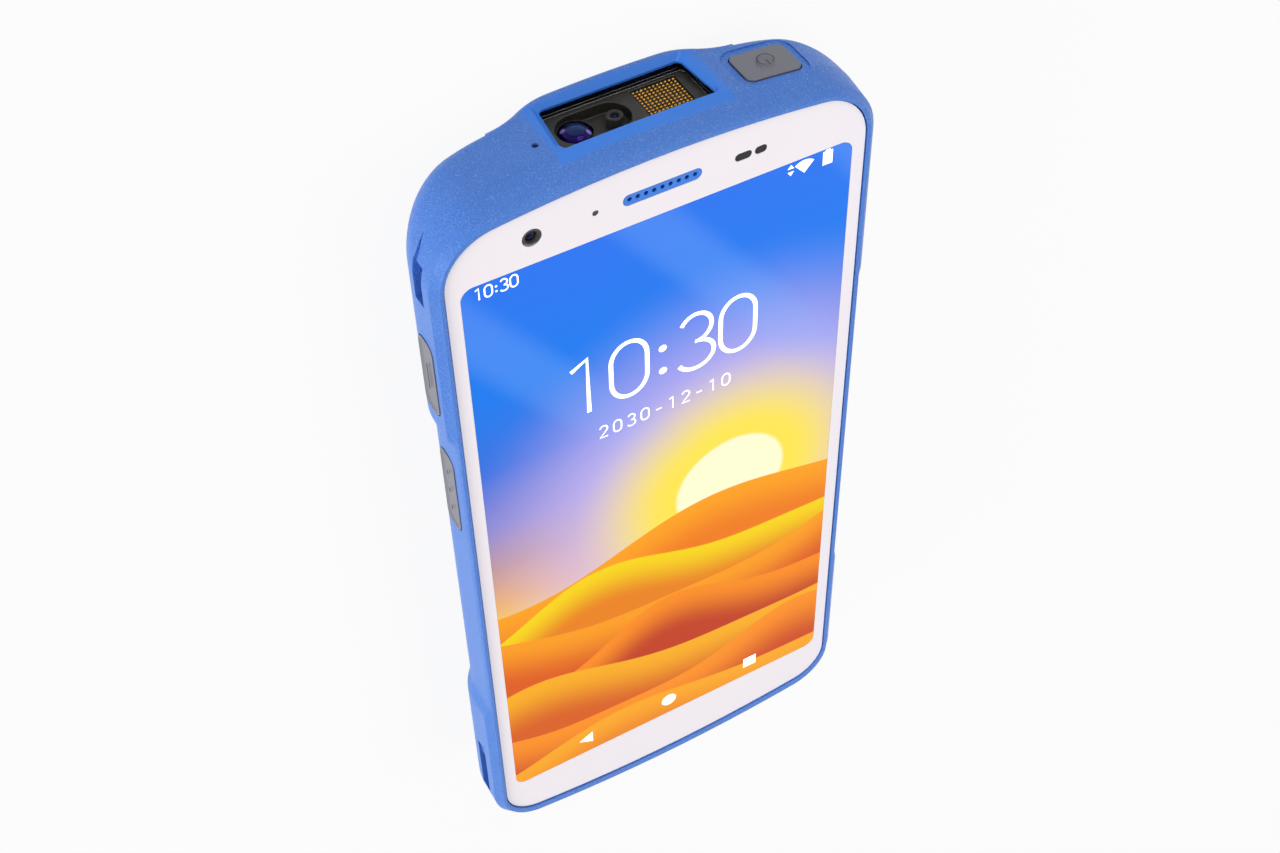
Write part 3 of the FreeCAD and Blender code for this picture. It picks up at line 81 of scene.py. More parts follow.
class Body(Enum):
    """The frame's bodies that new pieces ride on."""

    TERMINAL = "terminal"
    PACK = "battery_pack"
    LEFT_LATCH = "latch_left"
    RIGHT_LATCH = "latch_right"
    POWER_KEY = "power_key_body"
    TALK_KEY = "talk_key_body"
    LEFT_SCAN_KEY = "left_scan_key_body"
    RIGHT_SCAN_KEY = "right_scan_key_body"
    VOLUME_KEY = "volume_key_body"


class Slot(Enum):
    """The record's material slots that are used here."""

    SHELL = "blue_shell"
    PANEL = "white_panel"
    GLASS = "screen_glass"
    STACK = "display_stack"
    KEY = "key_grey"
    BLACK = "black_plastic"
    RUBBER = "black_rubber"
    PANE = "clear_pane"
    LENS = "lens_glass"
    DIFFUSER = "gold_diffuser"
    BOARD = "green_board"
    FLEX = "amber_flex"
    TIN = "tin_shield"
    SCREW = "screw_steel"
    STEEL = "bare_steel"
    CASTING = "cast_magnesium"
    GOLD = "gold_contact"
    PACK = "pack_plastic"
    FOIL = "cell_foil"
    LAMP = "lamp_lens"
    DARK_WINDOW = "dark_window"


def colour(code: str) -> tuple[float, float, float, float]:
    """An sRGB hex colour as the linear red, green, blue and alpha that Blender's sockets take."""
    shares = [int(code[start:start + 2], 16) / 255 for start in (1, 3, 5)]
    return *(c / 12.92 if c <= 0.04045 else ((c + 0.055) / 1.055) ** 2.4 for c in shares), 1.0


def feed(tree: Tree, node: Node, *values: Value, **inputs: Value) -> Node:
    """Sets a node's inputs, in their order or by their identifiers with _ for a space.

    Args:
        tree: the node's tree.
        node: the node.
        values: what its first inputs are fed; a node stands for its first output.
        inputs: what the inputs of those identifiers are fed.

    Returns:
        The same node.
    """
    sockets = {socket.identifier.replace(" ", "_"): socket for socket in node.inputs}
    for socket, value in (*zip(node.inputs, values), *((sockets[name], inputs[name]) for name in inputs)):
        if isinstance(value, (Node, Socket)):
            tree.links.new(value.outputs[0] if isinstance(value, Node) else value, socket)
        else:
            socket.default_value = value
    return node


def add(tree: Tree, kind: str, settings: dict[str, object] | None = None, *values: Value,
        stops: Sequence[tuple[float, str]] = (), **inputs: Value) -> Node:
    """Adds a node to a tree, with its settings, values and links.

    Args:
        tree: the tree of a material, the world or a Geometry Nodes modifier.
        kind: the node's type name.
        settings: attributes of the node itself.
        values: what its first inputs are fed, in their order.
        stops: places and hex colours of a colour ramp, the first and the last before the rest.
        inputs: what its other inputs are fed.

    Returns:
        The new node.
    """
    node = tree.nodes.new(kind)
    for name, value in (settings or {}).items():
        setattr(node, name, value)
    for index, (position, code) in enumerate(stops):
        ramp = node.color_ramp.elements
        stop = ramp[index] if index < len(ramp) else ramp.new(position)
        stop.position, stop.color = position, colour(code)
    return feed(tree, node, *values, **inputs)


def fresh(owner: bpy.types.Material | bpy.types.World) -> Tree:
    """The emptied node tree of a material or a world."""
    owner.use_nodes = True
    owner.node_tree.nodes.clear()
    return owner.node_tree


@dataclass(frozen=True)
class Finish:
    """A finish that fits a whole piece; each kind of surface adds its own pattern to it."""

    name: str
    base: str
    roughness: float
    metallic: float = 0.0
    ior: float = 1.5
    coat: float = 0.0
    coat_roughness: float = 0.03

    def material(self) -> bpy.types.Material:
        """The finish as a material, which is built the first time that a piece asks for it."""
        made = bpy.data.materials.get(self.name)
        if made:
            return made
        made = bpy.data.materials.new(self.name)
        tree = fresh(made)
        shader = add(tree, "ShaderNodeBsdfPrincipled", Base_Color=colour(self.base), Roughness=self.roughness,
                     Metallic=self.metallic, IOR=self.ior, Coat_Weight=self.coat,
                     Coat_Roughness=self.coat_roughness)
        add(tree, "ShaderNodeOutputMaterial", Surface=shader.outputs[0])
        where = add(tree, "ShaderNodeTexCoord").outputs["Object"]
        feed(tree, shader, **self.pattern(tree, where))
        return made

    def pattern(self, tree: Tree, where: Socket) -> dict[str, Value]:
        """Adds the nodes that vary this finish over the surface.

        Args:
            tree: the material's tree.
            where: the surface's object coordinates.

        Returns:
            What the shader's inputs are fed, by the names that feed takes.
        """
        raise NotImplementedError


@dataclass(frozen=True)
class Moulded(Finish):
    """Moulded plastic or rubber: a texture from the tool's wall, and a slow drift of its colour."""

    other: str = "#000000"
    grain: float = 0.3
    relief: float = 0.02
    drift: float = 12.0
    fleck_and_glint: float = 0.0
    fleck_and_glint_shade: str = "#FFFFFF"
    peaks: Point = (0.5, 0.72)
    gloss_swing: float = 0.08

    def pattern(self, tree: Tree, where: Socket) -> dict[str, Value]:
        """Drifts the colour between two shades, lifts the grain's peaks and bumps the surface, in mm."""
        node = partial(add, tree)
        slow = node(NOISE, Vector=where, Scale=1 / (self.drift * MM), Detail=2.0, Roughness=0.5)
        fine = node(NOISE, Vector=where, Scale=1 / (self.grain * MM), Detail=3.0, Roughness=0.65)
        shade = node(MIX, COLOURS, slow, A_Color=colour(self.base), B_Color=colour(self.other)).outputs[2]
        # Paler grain peaks: painted highlights on the blue shell, and the fibres' real flecks on the pack.
        if self.fleck_and_glint:
            peaks = node(RANGE, None, fine, *self.peaks, 0.0, self.fleck_and_glint)
            shade = node(MIX, COLOURS, peaks, A_Color=shade, B_Color=colour(self.fleck_and_glint_shade)).outputs[2]
        low, high = self.roughness - self.gloss_swing, self.roughness + self.gloss_swing
        return {"Base_Color": shade, "Roughness": node(RANGE, None, fine, 0.0, 1.0, low, high),
                "Normal": node(BUMP, Strength=1.0, Distance=self.relief * MM, Height=fine)}


@dataclass(frozen=True)
class Metal(Finish):
    """Bare or plated metal: streaks along the way it was drawn, turned or cast."""

    other: str = "#FFFFFF"
    streak: Spot = (0.4, 0.4, 0.4)
    relief: float = 0.004
    smoother: float = 0.07
    rougher: float = 0.1

    def pattern(self, tree: Tree, where: Socket) -> dict[str, Value]:
        """Stretches one noise along the streaks, in mm, and lets it drive shade, gloss and bump."""
        node = partial(add, tree)
        scale = tuple(1 / (step * MM) for step in self.streak)
        grain = node(NOISE, Vector=node("ShaderNodeMapping", Vector=where, Scale=scale), Scale=1.0,
                     Detail=3.0, Roughness=0.5)
        low, high = self.roughness - self.smoother, self.roughness + self.rougher
        return {"Base_Color": node(MIX, COLOURS, grain, A_Color=colour(self.base),
                                   B_Color=colour(self.other)).outputs[2],
                "Normal": node(BUMP, Strength=1.0, Distance=self.relief * MM, Height=grain),
                "Roughness": node(RANGE, None, grain, 0.0, 1.0, low, high)}


@dataclass(frozen=True)
class Clear(Finish):
    """Clear or tinted sheet: nearly all of it shows what lies behind, and the rest is gloss."""

    cover: float = 0.08
    haze: float = 5.0
    thinnest: float = 0.8
    thickest: float = 1.2
    rougher: float = 2.0

    def pattern(self, tree: Tree, where: Socket) -> dict[str, Value]:
        """Lets the sheet cover what lies behind it a little more here and there, as a wiped pane does."""
        smear = add(tree, NOISE, Vector=where, Scale=1 / (self.haze * MM), Detail=2.0, Roughness=0.5)
        thin, thick = self.cover * self.thinnest, self.cover * self.thickest
        return {"Alpha": add(tree, RANGE, None, smear, 0.0, 1.0, thin, thick),
                "Roughness": add(tree, RANGE, None, smear, 0.0, 1.0, self.roughness,
                                 self.roughness * self.rougher)}


@dataclass(frozen=True)
class CoatedLens(Finish):
    """Ground glass with an anti-reflection coating: the coating tints what the glass mirrors.

    Its middle and radius are in metres, because they come from the solids, and the places and sizes of its
    painted highlights are in radii. The barrel shows as dark rings at their shares of the radius.
    """

    rim: str = "#2A1A80"
    middle: Point = (0.0, 0.0)
    radius: float = 2.5 * MM
    upright: bool = False
    tint: str = "#8A5CFF"
    flares: tuple[Spot, ...] = ()
    painted_flare_shade: str = "#A98CF2"
    painted_flare_sizes: Point = (0.2, 0.08)
    painted_flare_share: float = 0.9
    clear_share: float = 0.5
    rings: tuple[tuple[float, str], ...] = ((0.56, "#04040C"), (0.86, "#060414"))
    rim_share: float = 0.66

    def pattern(self, tree: Tree, where: Socket) -> dict[str, Value]:
        """Shades the glass by its distance from the axis, with the barrel's rings and painted highlights."""
        node = partial(add, tree)
        x, other = self.middle
        centre, flat = (((x, 0.0, other), (1.0, 0.0, 1.0)) if self.upright
                        else ((x, other, 0.0), (1.0, 1.0, 0.0)))
        level = node(VECTORS, PRODUCT, node(VECTORS, DIFFERENCE, where, centre), flat)
        reach = node(VECTORS, LENGTH, level).outputs["Value"]
        share = node(RANGE, None, reach, 0.0, self.radius, 0.0, 1.0)
        shade = node("ShaderNodeValToRGB", None, share,
                     stops=((0.0, self.base), (1.0, self.rim), (self.clear_share, self.base), self.rings[0],
                            (self.rim_share, self.rim), self.rings[1])).outputs[0]
        start, full = (size * self.radius for size in self.painted_flare_sizes)
        # Each spot is a painted highlight: a soft violet glint mixed into the glass's colour.
        for flare in self.flares:
            spot = tuple(step * self.radius for step in flare)
            away = node(VECTORS, LENGTH, node(VECTORS, DIFFERENCE, level, spot)).outputs["Value"]
            light = node(RANGE, SMOOTH, away, start, full, 0.0, self.painted_flare_share)
            shade = node(MIX, COLOURS, light, A_Color=shade, B_Color=colour(self.painted_flare_shade)).outputs[2]
        return {"Base_Color": shade, "Specular_Tint": colour(self.tint)}


@dataclass(frozen=True)
class Board(Finish):
    """Laminate with solder mask: tracks and pads show as a brighter green through the mask."""

    track: str = "#3E9A5A"
    pitch: float = 1.6
    waver: float = 0.35
    track_edges: Point = (0.06, 0.1)
    relief: float = 0.02
    strength: float = 0.6

    def pattern(self, tree: Tree, where: Socket) -> dict[str, Value]:
        """Runs tracks along the edges of a coarse cell pattern, whose pitch is in mm."""
        cells = add(tree, "ShaderNodeTexVoronoi", {"feature": "DISTANCE_TO_EDGE", "distance": "EUCLIDEAN"},
                    Vector=where, Scale=1 / (self.pitch * MM), Randomness=self.waver)
        run = add(tree, RANGE, None, cells.outputs["Distance"], *self.track_edges, 1.0, 0.0)
        return {"Base_Color": add(tree, MIX, COLOURS, run, A_Color=colour(self.base),
                                  B_Color=colour(self.track)).outputs[2],
                "Normal": add(tree, BUMP, Strength=self.strength, Distance=self.relief * MM, Height=run)}


@dataclass(frozen=True)
class Woven(Finish):
    """Fine cloth or mesh, whose two sets of threads cross at right angles."""

    thread: float = 0.12
    gap_shade: str = "#020203"
    relief: float = 0.03
    strength: float = 0.8

    def pattern(self, tree: Tree, where: Socket) -> dict[str, Value]:
        """Crosses two sets of threads, and bumps and shades the cloth by them."""
        across, along = (add(tree, BANDS, {"wave_type": "BANDS", "bands_direction": axis}, Vector=where,
                             Scale=WAVE / (self.thread * MM)).outputs["Fac"] for axis in ("X", "Y"))
        weave = add(tree, MATH, PRODUCT, across, along)
        return {"Base_Color": add(tree, MIX, COLOURS, weave, A_Color=colour(self.gap_shade),
                                  B_Color=colour(self.base)).outputs[2],
                "Normal": add(tree, BUMP, Strength=self.strength, Distance=self.relief * MM, Height=weave)}


@dataclass(frozen=True)
class Lit(Finish):
    """Pixels that shine by themselves, in rows that are a little uneven."""

    row: float = 0.09
    glow: float = 0.85
    dimmest: float = 0.94

    def pattern(self, tree: Tree, where: Socket) -> dict[str, Value]:
        """Dims the light a little between one row of pixels and the next."""
        rows = add(tree, BANDS, {"wave_type": "BANDS", "bands_direction": "Y"}, Vector=where,
                   Scale=WAVE / (self.row * MM)).outputs["Fac"]
        return {"Emission_Color": colour(self.base),
                "Emission_Strength": add(tree, RANGE, None, rows, 0.0, 1.0, self.glow * self.dimmest,
                                         self.glow)}


@dataclass(frozen=True)
class Wave:
    """One rolling band of the picture on the display, in millimetres from the display's middle."""

    level: float
    swing: float
    length: float
    phase: float
    depth: float
    light: str
    dark: str


@dataclass(frozen=True)
class Picture(Finish):
    """The lit display under its cover glass: a plain sunrise over rolling bands of orange and yellow.

    Lengths are in millimetres from the display's middle. A halo has the radii where it starts and where it
    is full, its share and its colour. The rays run aslant over the upper part of the sky.
    """

    waves: tuple[Wave, ...] = ()
    glow: float = 0.1
    sun: Point = (13.0, -3.0)
    horizon: Point = (-20.0, 67.0)
    sky: tuple[tuple[float, str], ...] = (
        (0.0, "#FFE200"), (1.0, "#2A74EE"), (0.12, "#F4B020"), (0.24, "#BE8E80"), (0.36, "#8480CC"),
        (0.52, "#3570DE"), (0.72, "#147AEC"))
    halos: tuple[tuple[float, float, float, str], ...] = (
        (58.0, 20.0, 0.85, "#CDBDF6"), (34.0, 13.0, 0.95, "#FFE63A"), (11.5, 10.5, 1.0, "#FFFBD2"))
    ray_way: Point = (0.8, 0.6)
    ray_rate: float = 0.21
    ray_start: float = 0.2
    ray_share: float = 0.22
    ray_levels: Point = (5.0, 40.0)
    ray_shade: str = "#7FB4FF"
    crest: Point = (-0.1, 0.15)
    ripple_rate: float = 1.7
    ripple_share: float = 0.35

    def pattern(self, tree: Tree, where: Socket) -> dict[str, Value]:
        """Lays sky, halos, rays and bands over each other, and lights the surface a little with them."""
        node = partial(add, tree)
        flat = node("ShaderNodeSeparateXYZ", Vector=where).outputs
        x, y = (node(MATH, PRODUCT, flat[axis], 1 / MM) for axis in (0, 1))
        height = node(RANGE, None, y, *self.horizon, 0.0, 1.0)
        shown = node("ShaderNodeValToRGB", None, height, stops=self.sky).outputs[0]
        squares = []
        for way, middle in zip((x, y), self.sun):
            off = node(MATH, DIFFERENCE, way, middle)
            squares.append(node(MATH, PRODUCT, off, off))
        reach = node(MATH, ROOT, node(MATH, SUM, *squares))
        for start, full, share, code in self.halos:
            halo = node(RANGE, SMOOTH, reach, start, full, 0.0, share)
            shown = node(MIX, COLOURS, halo, A_Color=shown, B_Color=colour(code)).outputs[2]
        lean = node(MATH, SUM, *(node(MATH, PRODUCT, way, step) for way, step in zip((x, y), self.ray_way)))
        beam = node(MATH, SINE, node(MATH, PRODUCT, lean, self.ray_rate))
        ray = node(MATH, PRODUCT, node(RANGE, SMOOTH, beam, self.ray_start, 1.0, 0.0, self.ray_share),
                   node(RANGE, SMOOTH, y, *self.ray_levels, 0.0, 1.0))
        shown = node(MIX, COLOURS, ray, A_Color=shown, B_Color=colour(self.ray_shade)).outputs[2]
        for wave in self.waves:
            turn = node(MATH, SUM, node(MATH, PRODUCT, x, math.tau / wave.length), wave.phase)
            swell = node(MATH, PRODUCT, node(MATH, SINE, turn), wave.swing)
            quick = node(MATH, SINE, node(MATH, PRODUCT, turn, self.ripple_rate))
            ripple = node(MATH, PRODUCT, quick, wave.swing * self.ripple_share)
            level = node(MATH, SUM, node(MATH, SUM, swell, ripple), wave.level)
            drop = node(MATH, DIFFERENCE, level, y)
            deep = node(RANGE, SMOOTH, drop, 0.0, wave.depth, 0.0, 1.0)
            band = node(MIX, COLOURS, deep, A_Color=colour(wave.light), B_Color=colour(wave.dark)).outputs[2]
            edge = node(RANGE, SMOOTH, drop, *self.crest, 0.0, 1.0)
            shown = node(MIX, COLOURS, edge, A_Color=shown, B_Color=band).outputs[2]
        return {"Base_Color": shown, "Emission_Color": shown, "Emission_Strength": self.glow}


# Overmoulded polycarbonate with a spark-eroded grain: soft sheen, and fine bright points that are painted
# highlights on the grain's peaks. The real grain, about 0.1 mm, is too fine to show, so it is drawn
# coarser, at 0.3 mm.
GRAINED_BLUE = Moulded("spark_grained_polycarbonate", "#2E76D6", 0.44, other="#3179DA", relief=0.42, coat=0.4,
                       coat_roughness=0.45, fleck_and_glint=0.7, fleck_and_glint_shade="#7AA2F2")
# The same plastic from a polished part of the tool, round the imager: smoother and a deeper blue.
POLISHED_BLUE = Moulded("polished_polycarbonate", "#2B78DC", 0.36, other="#2F7CE0", grain=0.8, relief=0.004)
# White ink under a satin hard coat on the front panel: even, with only a faint orange peel.
WHITE_INK = Moulded("hard_coated_white_panel", "#F8F1F7", 0.5, ior=1.4, other="#FAF4F9", grain=0.9,
                    relief=0.0015)
# Silicone-coated key caps, moulded: matt mid grey with a fine even grain.
KEY_GREY = Moulded("soft_coated_key", "#5E5F6A", 0.42, coat=0.5, coat_roughness=0.45, other="#666671",
                   grain=0.22, relief=0.012)
# The marks sunk into the keys: the same plastic, darker because the light reaches its walls less.
KEY_MARK = Moulded("sunk_key_mark", "#38383E", 0.6, other="#303036", grain=0.2, relief=0.01)
# Black ABS from an etched tool: satin, and never quite black in the light.
BLACK_ABS = Moulded("etched_black_abs", "#17171A", 0.42, other="#1D1D21", grain=0.2, relief=0.012)
# The imager's own body, moulded in a warm charcoal with a satin tool finish.
CHARCOAL = Moulded("charcoal_imager_body", "#25221D", 0.5, other="#2B2822", grain=0.25, relief=0.01)
# Dark matt plastic of the front camera's stepped funnel and of the aimer's barrel.
MATT_GREY = Moulded("matt_camera_ring", "#363633", 0.7, ior=1.3, other="#40403C", grain=0.15, relief=0.006)
# Black polycarbonate from a polished tool: the front camera's ring, and the frame and bead behind the pane.
GLOSS_BLACK = Moulded("gloss_black_polycarbonate", "#0B0B0E", 0.16, other="#101015", grain=0.7, relief=0.002,
                      coat=0.5)
# Moulded silicone of the display's seal: matt, with a dusty bloom.
SEAL_RUBBER = Moulded("seal_silicone", "#141416", 0.75, other="#1E1E21", grain=0.35, relief=0.012)
# Glass-filled nylon of the battery pack: dark grey with the fibres' faint mottling.
PACK_NYLON = Moulded("glass_filled_nylon", "#2A2B30", 0.55, other="#33343A", relief=0.03, drift=6.0,
                     fleck_and_glint=0.15, fleck_and_glint_shade="#5A5C66")
# Polyimide film of the flexible strips: amber and glossy.
AMBER_FILM = Moulded("polyimide_film", "#B4701E", 0.25, other="#C7862C", grain=1.5, relief=0.004)
# Aluminium laminate of the cell's pouch: dull silver that creases softly.
CELL_POUCH = Metal("laminate_pouch", "#A9ABB0", 0.35, metallic=0.8, other="#C2C4C8", streak=(3.0, 3.0, 3.0),
                   relief=0.12)
# Tin-plated steel shields: soft grey with the strip's rolling lines.
TIN_PLATE = Metal("tin_plated_steel", "#B9BBBE", 0.32, metallic=1.0, other="#CDCFD2", streak=(0.3, 6.0, 1.0))
# Blackened steel of the screws and the rear camera's ring: dark, with turning marks.
BLACK_SCREW = Metal("blackened_screw_steel", "#3B3C40", 0.36, metallic=1.0, other="#55565B",
                    streak=(0.25, 0.25, 0.25))
# Drawn stainless steel of the socket and the small screws: bright, with lines along the draw.
DRAWN_STEEL = Metal("drawn_stainless_steel", "#B4B5B8", 0.26, metallic=1.0, other="#D0D1D4",
                    streak=(0.12, 4.0, 0.12))
# Die-cast magnesium: grey, with the flow marks of the casting.
CAST_MAGNESIUM = Metal("die_cast_magnesium", "#8E9094", 0.5, metallic=0.9, other="#A3A5A9",
                       streak=(1.2, 2.5, 1.2), relief=0.03)
# Hard gold over nickel on the contacts: warm and bright.
GOLD_PLATE = Metal("hard_gold_plate", "#D9A441", 0.22, metallic=1.0, other="#EBC067", streak=(0.2, 1.5, 0.2))
# Printed backing of the display: dark and even.
DISPLAY_BACK = Moulded("display_backing_film", "#20222A", 0.4, other="#262832", grain=1.0, relief=0.003)
# Hardened glass with a coating over the imager: almost invisible from the front.
SCAN_PANE = Clear("coated_scan_pane", "#20201E", 0.02, ior=1.1, cover=0.03)
# Smoked acrylic over the sensors and the rear camera: black until the light gets behind it.
SMOKED_ACRYLIC = Moulded("smoked_acrylic", "#1B1B20", 0.3, ior=1.3, other="#222228", grain=2.0, relief=0.001)
# The lamp's clear lens, unlit: dark grey and glossy.
LAMP_LENS = Moulded("unlit_lamp_lens", "#26262B", 0.12, other="#34343B", grain=0.5, relief=0.002)
# Gold reflector of the illumination: dark between its beads.
GOLD_REFLECTOR = Metal("gold_lit_diffuser", "#30230A", 0.45, metallic=0.5, other="#1E1606",
                       streak=(0.5, 0.5, 0.5), relief=0.03)
# The beads over it, each with one warm spark.
GOLD_BEAD = Metal("gold_bead", "#D2A24A", 0.16, metallic=0.95, other="#9A7330", streak=(0.8, 0.8, 0.8),
                  relief=0.002)
# Solder-masked laminate.
GREEN_MASK = Board("solder_masked_board", "#1D6B3C", 0.4, coat=0.4, coat_roughness=0.2)
# Black acoustic cloth behind the sound openings. Its threads, 0.05 mm apart, are drawn at 0.12 mm.
SOUND_CLOTH = Woven("acoustic_cloth", "#2A2A2F", 0.8)
# White marks that the display shows.
LIT_WHITE = Lit("lit_white_pixels", "#FFFFFF", 0.5, ior=1.2)
# A recessed sheet of frosted film over the flash lamp: pale yellow where the phosphor shows.
FLASH_FILM = Moulded("flash_phosphor", "#E8D98A", 0.3, other="#D8C874", relief=0.01)
# The display behind its cover glass.
SCREEN = Picture("lit_display", "#1E78F0", 0.3, ior=1.22, waves=(
    Wave(-9.0, 3.4, 96.0, 0.6, 12.0, "#FBA012", "#EE7A08"),
    Wave(-17.0, 4.2, 74.0, 2.4, 11.0, "#F6D400", "#E8800A"),
    Wave(-25.0, 5.0, 88.0, 4.4, 13.0, "#FA9C10", "#DC5A0A"),
    Wave(-34.0, 4.4, 66.0, 1.2, 12.0, "#F88C10", "#C03A0C"),
    Wave(-43.0, 5.2, 92.0, 3.3, 14.0, "#F8AE14", "#D85C0C"),
    Wave(-53.0, 4.0, 70.0, 5.5, 15.0, "#FA9014", "#CC460C"),
    Wave(-61.0, 2.6, 84.0, 2.0, 12.0, "#FAA818", "#E87A12"),
))

INSIDE_FINISHES: dict[Slot, Finish] = {
    Slot.STACK: DISPLAY_BACK,
    Slot.BLACK: BLACK_ABS,
    Slot.RUBBER: SEAL_RUBBER,
    Slot.BOARD: GREEN_MASK,
    Slot.FLEX: AMBER_FILM,
    Slot.TIN: TIN_PLATE,
    Slot.STEEL: DRAWN_STEEL,
    Slot.CASTING: CAST_MAGNESIUM,
    Slot.GOLD: GOLD_PLATE,
    Slot.PACK: PACK_NYLON,
    Slot.FOIL: CELL_POUCH,
    Slot.LAMP: LAMP_LENS,
}


def link(name: str, data: bpy.types.ID) -> bpy.types.Object:
    """A new object in the scene, at the origin."""
    thing = bpy.data.objects.new(name, data)
    bpy.context.scene.collection.objects.link(thing)
    return thing


def evaluated(thing: bpy.types.Object) -> bpy.types.Mesh:
    """What an object's modifiers make of it, as a mesh of its own."""
    return bpy.data.meshes.new_from_object(thing.evaluated_get(bpy.context.evaluated_depsgraph_get()))


def settle(form: Form, name: str, finish: Finish | Sequence[Finish], slot: Slot, *replaced: str,
           body: Body = Body.TERMINAL, sharp: float = 35.0) -> None:
    """Turns mesh data into a piece, smooth apart from its sharp edges and with even flats, and reports it.

    Args:
        form: the mesh, which is freed.
        name: the piece's name.
        finish: its finish, or its finishes in the order of its faces' material numbers.
        slot: the record's slot that it belongs to; not used.
        replaced: the CAD nodes that it stands for.
        body: the body that it rides on.
        sharp: the angle in degrees from which an edge stays sharp.
    """
    mesh = bpy.data.meshes.new(name)
    form.to_mesh(mesh)
    form.free()
    for each in (finish,) if isinstance(finish, Finish) else finish:
        mesh.materials.append(each.material())
    mesh.polygons.foreach_set("use_smooth", [True] * len(mesh.polygons))
    mesh.set_sharp_from_angle(angle=math.radians(sharp))
    piece = link(name, mesh)
    level = piece.modifiers.new("level", "WEIGHTED_NORMAL")
    level.keep_sharp, level.weight = True, 100
    piece.data = evaluated(piece)
    piece.modifiers.remove(level)
    bpy.data.meshes.remove(mesh)
    piece.data.name = name
    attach(piece, body.value)
    if replaced:
        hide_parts(*replaced)
    LOG.info("%s rides on %s, %d faces", name, body.value, len(piece.data.polygons))


class Box:
    """A CAD node's box, with its lowest and highest corners and its size."""

    def __init__(self, node: str) -> None:
        """Reads the node's corners."""
        self.low, self.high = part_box(node)
        self.size = self.high - self.low

    def at(self, x: float = 0.5, y: float = 0.5, z: float = 0.5) -> Vector:
        """A point in it by its share of the way along each axis, which is the middle unless told."""
        return Vector(low + (high - low) * share for low, high, share in zip(self.low, self.high, (x, y, z)))


def merged(node: str, flat: float = 0.3) -> Form:
    """A copy of a CAD node's mesh, with its doubles merged and faces within flat degrees made one."""
    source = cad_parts[node].data
    form = bmesh.new()
    corners = [form.verts.new(vertex.co) for vertex in source.vertices]
    for polygon in source.polygons:
        form.faces.new([corners[index] for index in polygon.vertices])
    bmesh.ops.remove_doubles(form, verts=form.verts, dist=MERGE)
    bmesh.ops.dissolve_limit(form, angle_limit=math.radians(flat), verts=form.verts, edges=form.edges)
    return form


def soften(form: Form, width: float, segments: int = 2, angle: float = 32.0, least: float = 0.0) -> Form:
    """Rounds the sharp edges of a mesh.

    Args:
        form: the mesh.
        width: how far the rounding reaches from each edge.
        segments: the faces across the rounding.
        angle: the least angle in degrees between the faces at an edge that is rounded.
        least: the least length of such an edge.

    Returns:
        The same mesh.
    """
    edges = [edge for edge in form.edges if len(edge.link_faces) == 2 and edge.calc_length() >= least
             and edge.calc_face_angle(0.0) > math.radians(angle)]
    bmesh.ops.bevel(form, geom=edges, offset=width, offset_type="OFFSET", segments=segments, profile=0.5,
                    affect="EDGES", clamp_overlap=True)
    return form


def scaled(points: Sequence[Point]) -> list[Point]:
    """Points that are given in millimetres, in metres."""
    return [(x * MM, y * MM) for x, y in points]


def arc(middle: Point, radii: Point, start: float, end: float, steps: int = 20) -> list[Point]:
    """Points along part of an ellipse, with the angles in degrees."""
    turns = [math.radians(start + (end - start) * index / steps) for index in range(steps + 1)]
    return [(middle[0] + radii[0] * math.cos(t), middle[1] + radii[1] * math.sin(t)) for t in turns]


def stadium(length: float, width: float, steps: int = 12) -> list[Point]:
    """The outline of a bar with round ends, centred, with its length along X."""
    reach, radius = (length - width) / 2, width / 2
    right = [(reach + radius * math.cos(a), radius * math.sin(a))
             for a in (math.pi * (index / steps - 0.5) for index in range(steps + 1))]
    return right + [(-x, -y) for x, y in right]


def dome(radius: float, edge: float, top: float, steps: int) -> list[Point]:
    """The profile of a domed end, from its edge up to the axis, as radii and heights."""
    turns = [math.pi / 2 * step / steps for step in range(steps)]
    return [(radius * math.cos(a), edge + (top - edge) * math.sin(a)) for a in turns] + [(0.0, top)]


def lathe(profile: Sequence[Point], centre: Vector, axis: Vector, sides: int = 48,
          lobes: Callable[[int, float], float] | None = None) -> Form:
    """A turned form.

    Args:
        profile: pairs of radius and height; it starts and ends on the axis, or closes on itself.
        centre: the foot of the axis.
        axis: the direction of height.
        sides: the faces around it.
        lobes: how much a ring's radius changes, from the ring's number and the angle.

    Returns:
        The closed mesh.
    """
    form = bmesh.new()
    turn = UP.rotation_difference(axis).to_matrix()
    rings: list[list[bmesh.types.BMVert]] = []
    for index, (radius, height) in enumerate(profile):
        if radius == 0:
            rings.append([form.verts.new(centre + turn @ Vector((0, 0, height)))] * sides)
            continue
        ring = []
        for angle in (math.tau * side / sides for side in range(sides)):
            reach = radius + (lobes(index, angle) if lobes else 0.0)
            spot = Vector((reach * math.cos(angle), reach * math.sin(angle), height))
            ring.append(form.verts.new(centre + turn @ spot))
        rings.append(ring)
    for low, high in zip(rings, rings[1:]):
        for side in range(sides):
            after = (side + 1) % sides
            unique = list(dict.fromkeys((low[side], low[after], high[after], high[side])))
            if len(unique) > 2:
                form.faces.new(unique)
    bmesh.ops.recalc_face_normals(form, faces=form.faces)
    return form


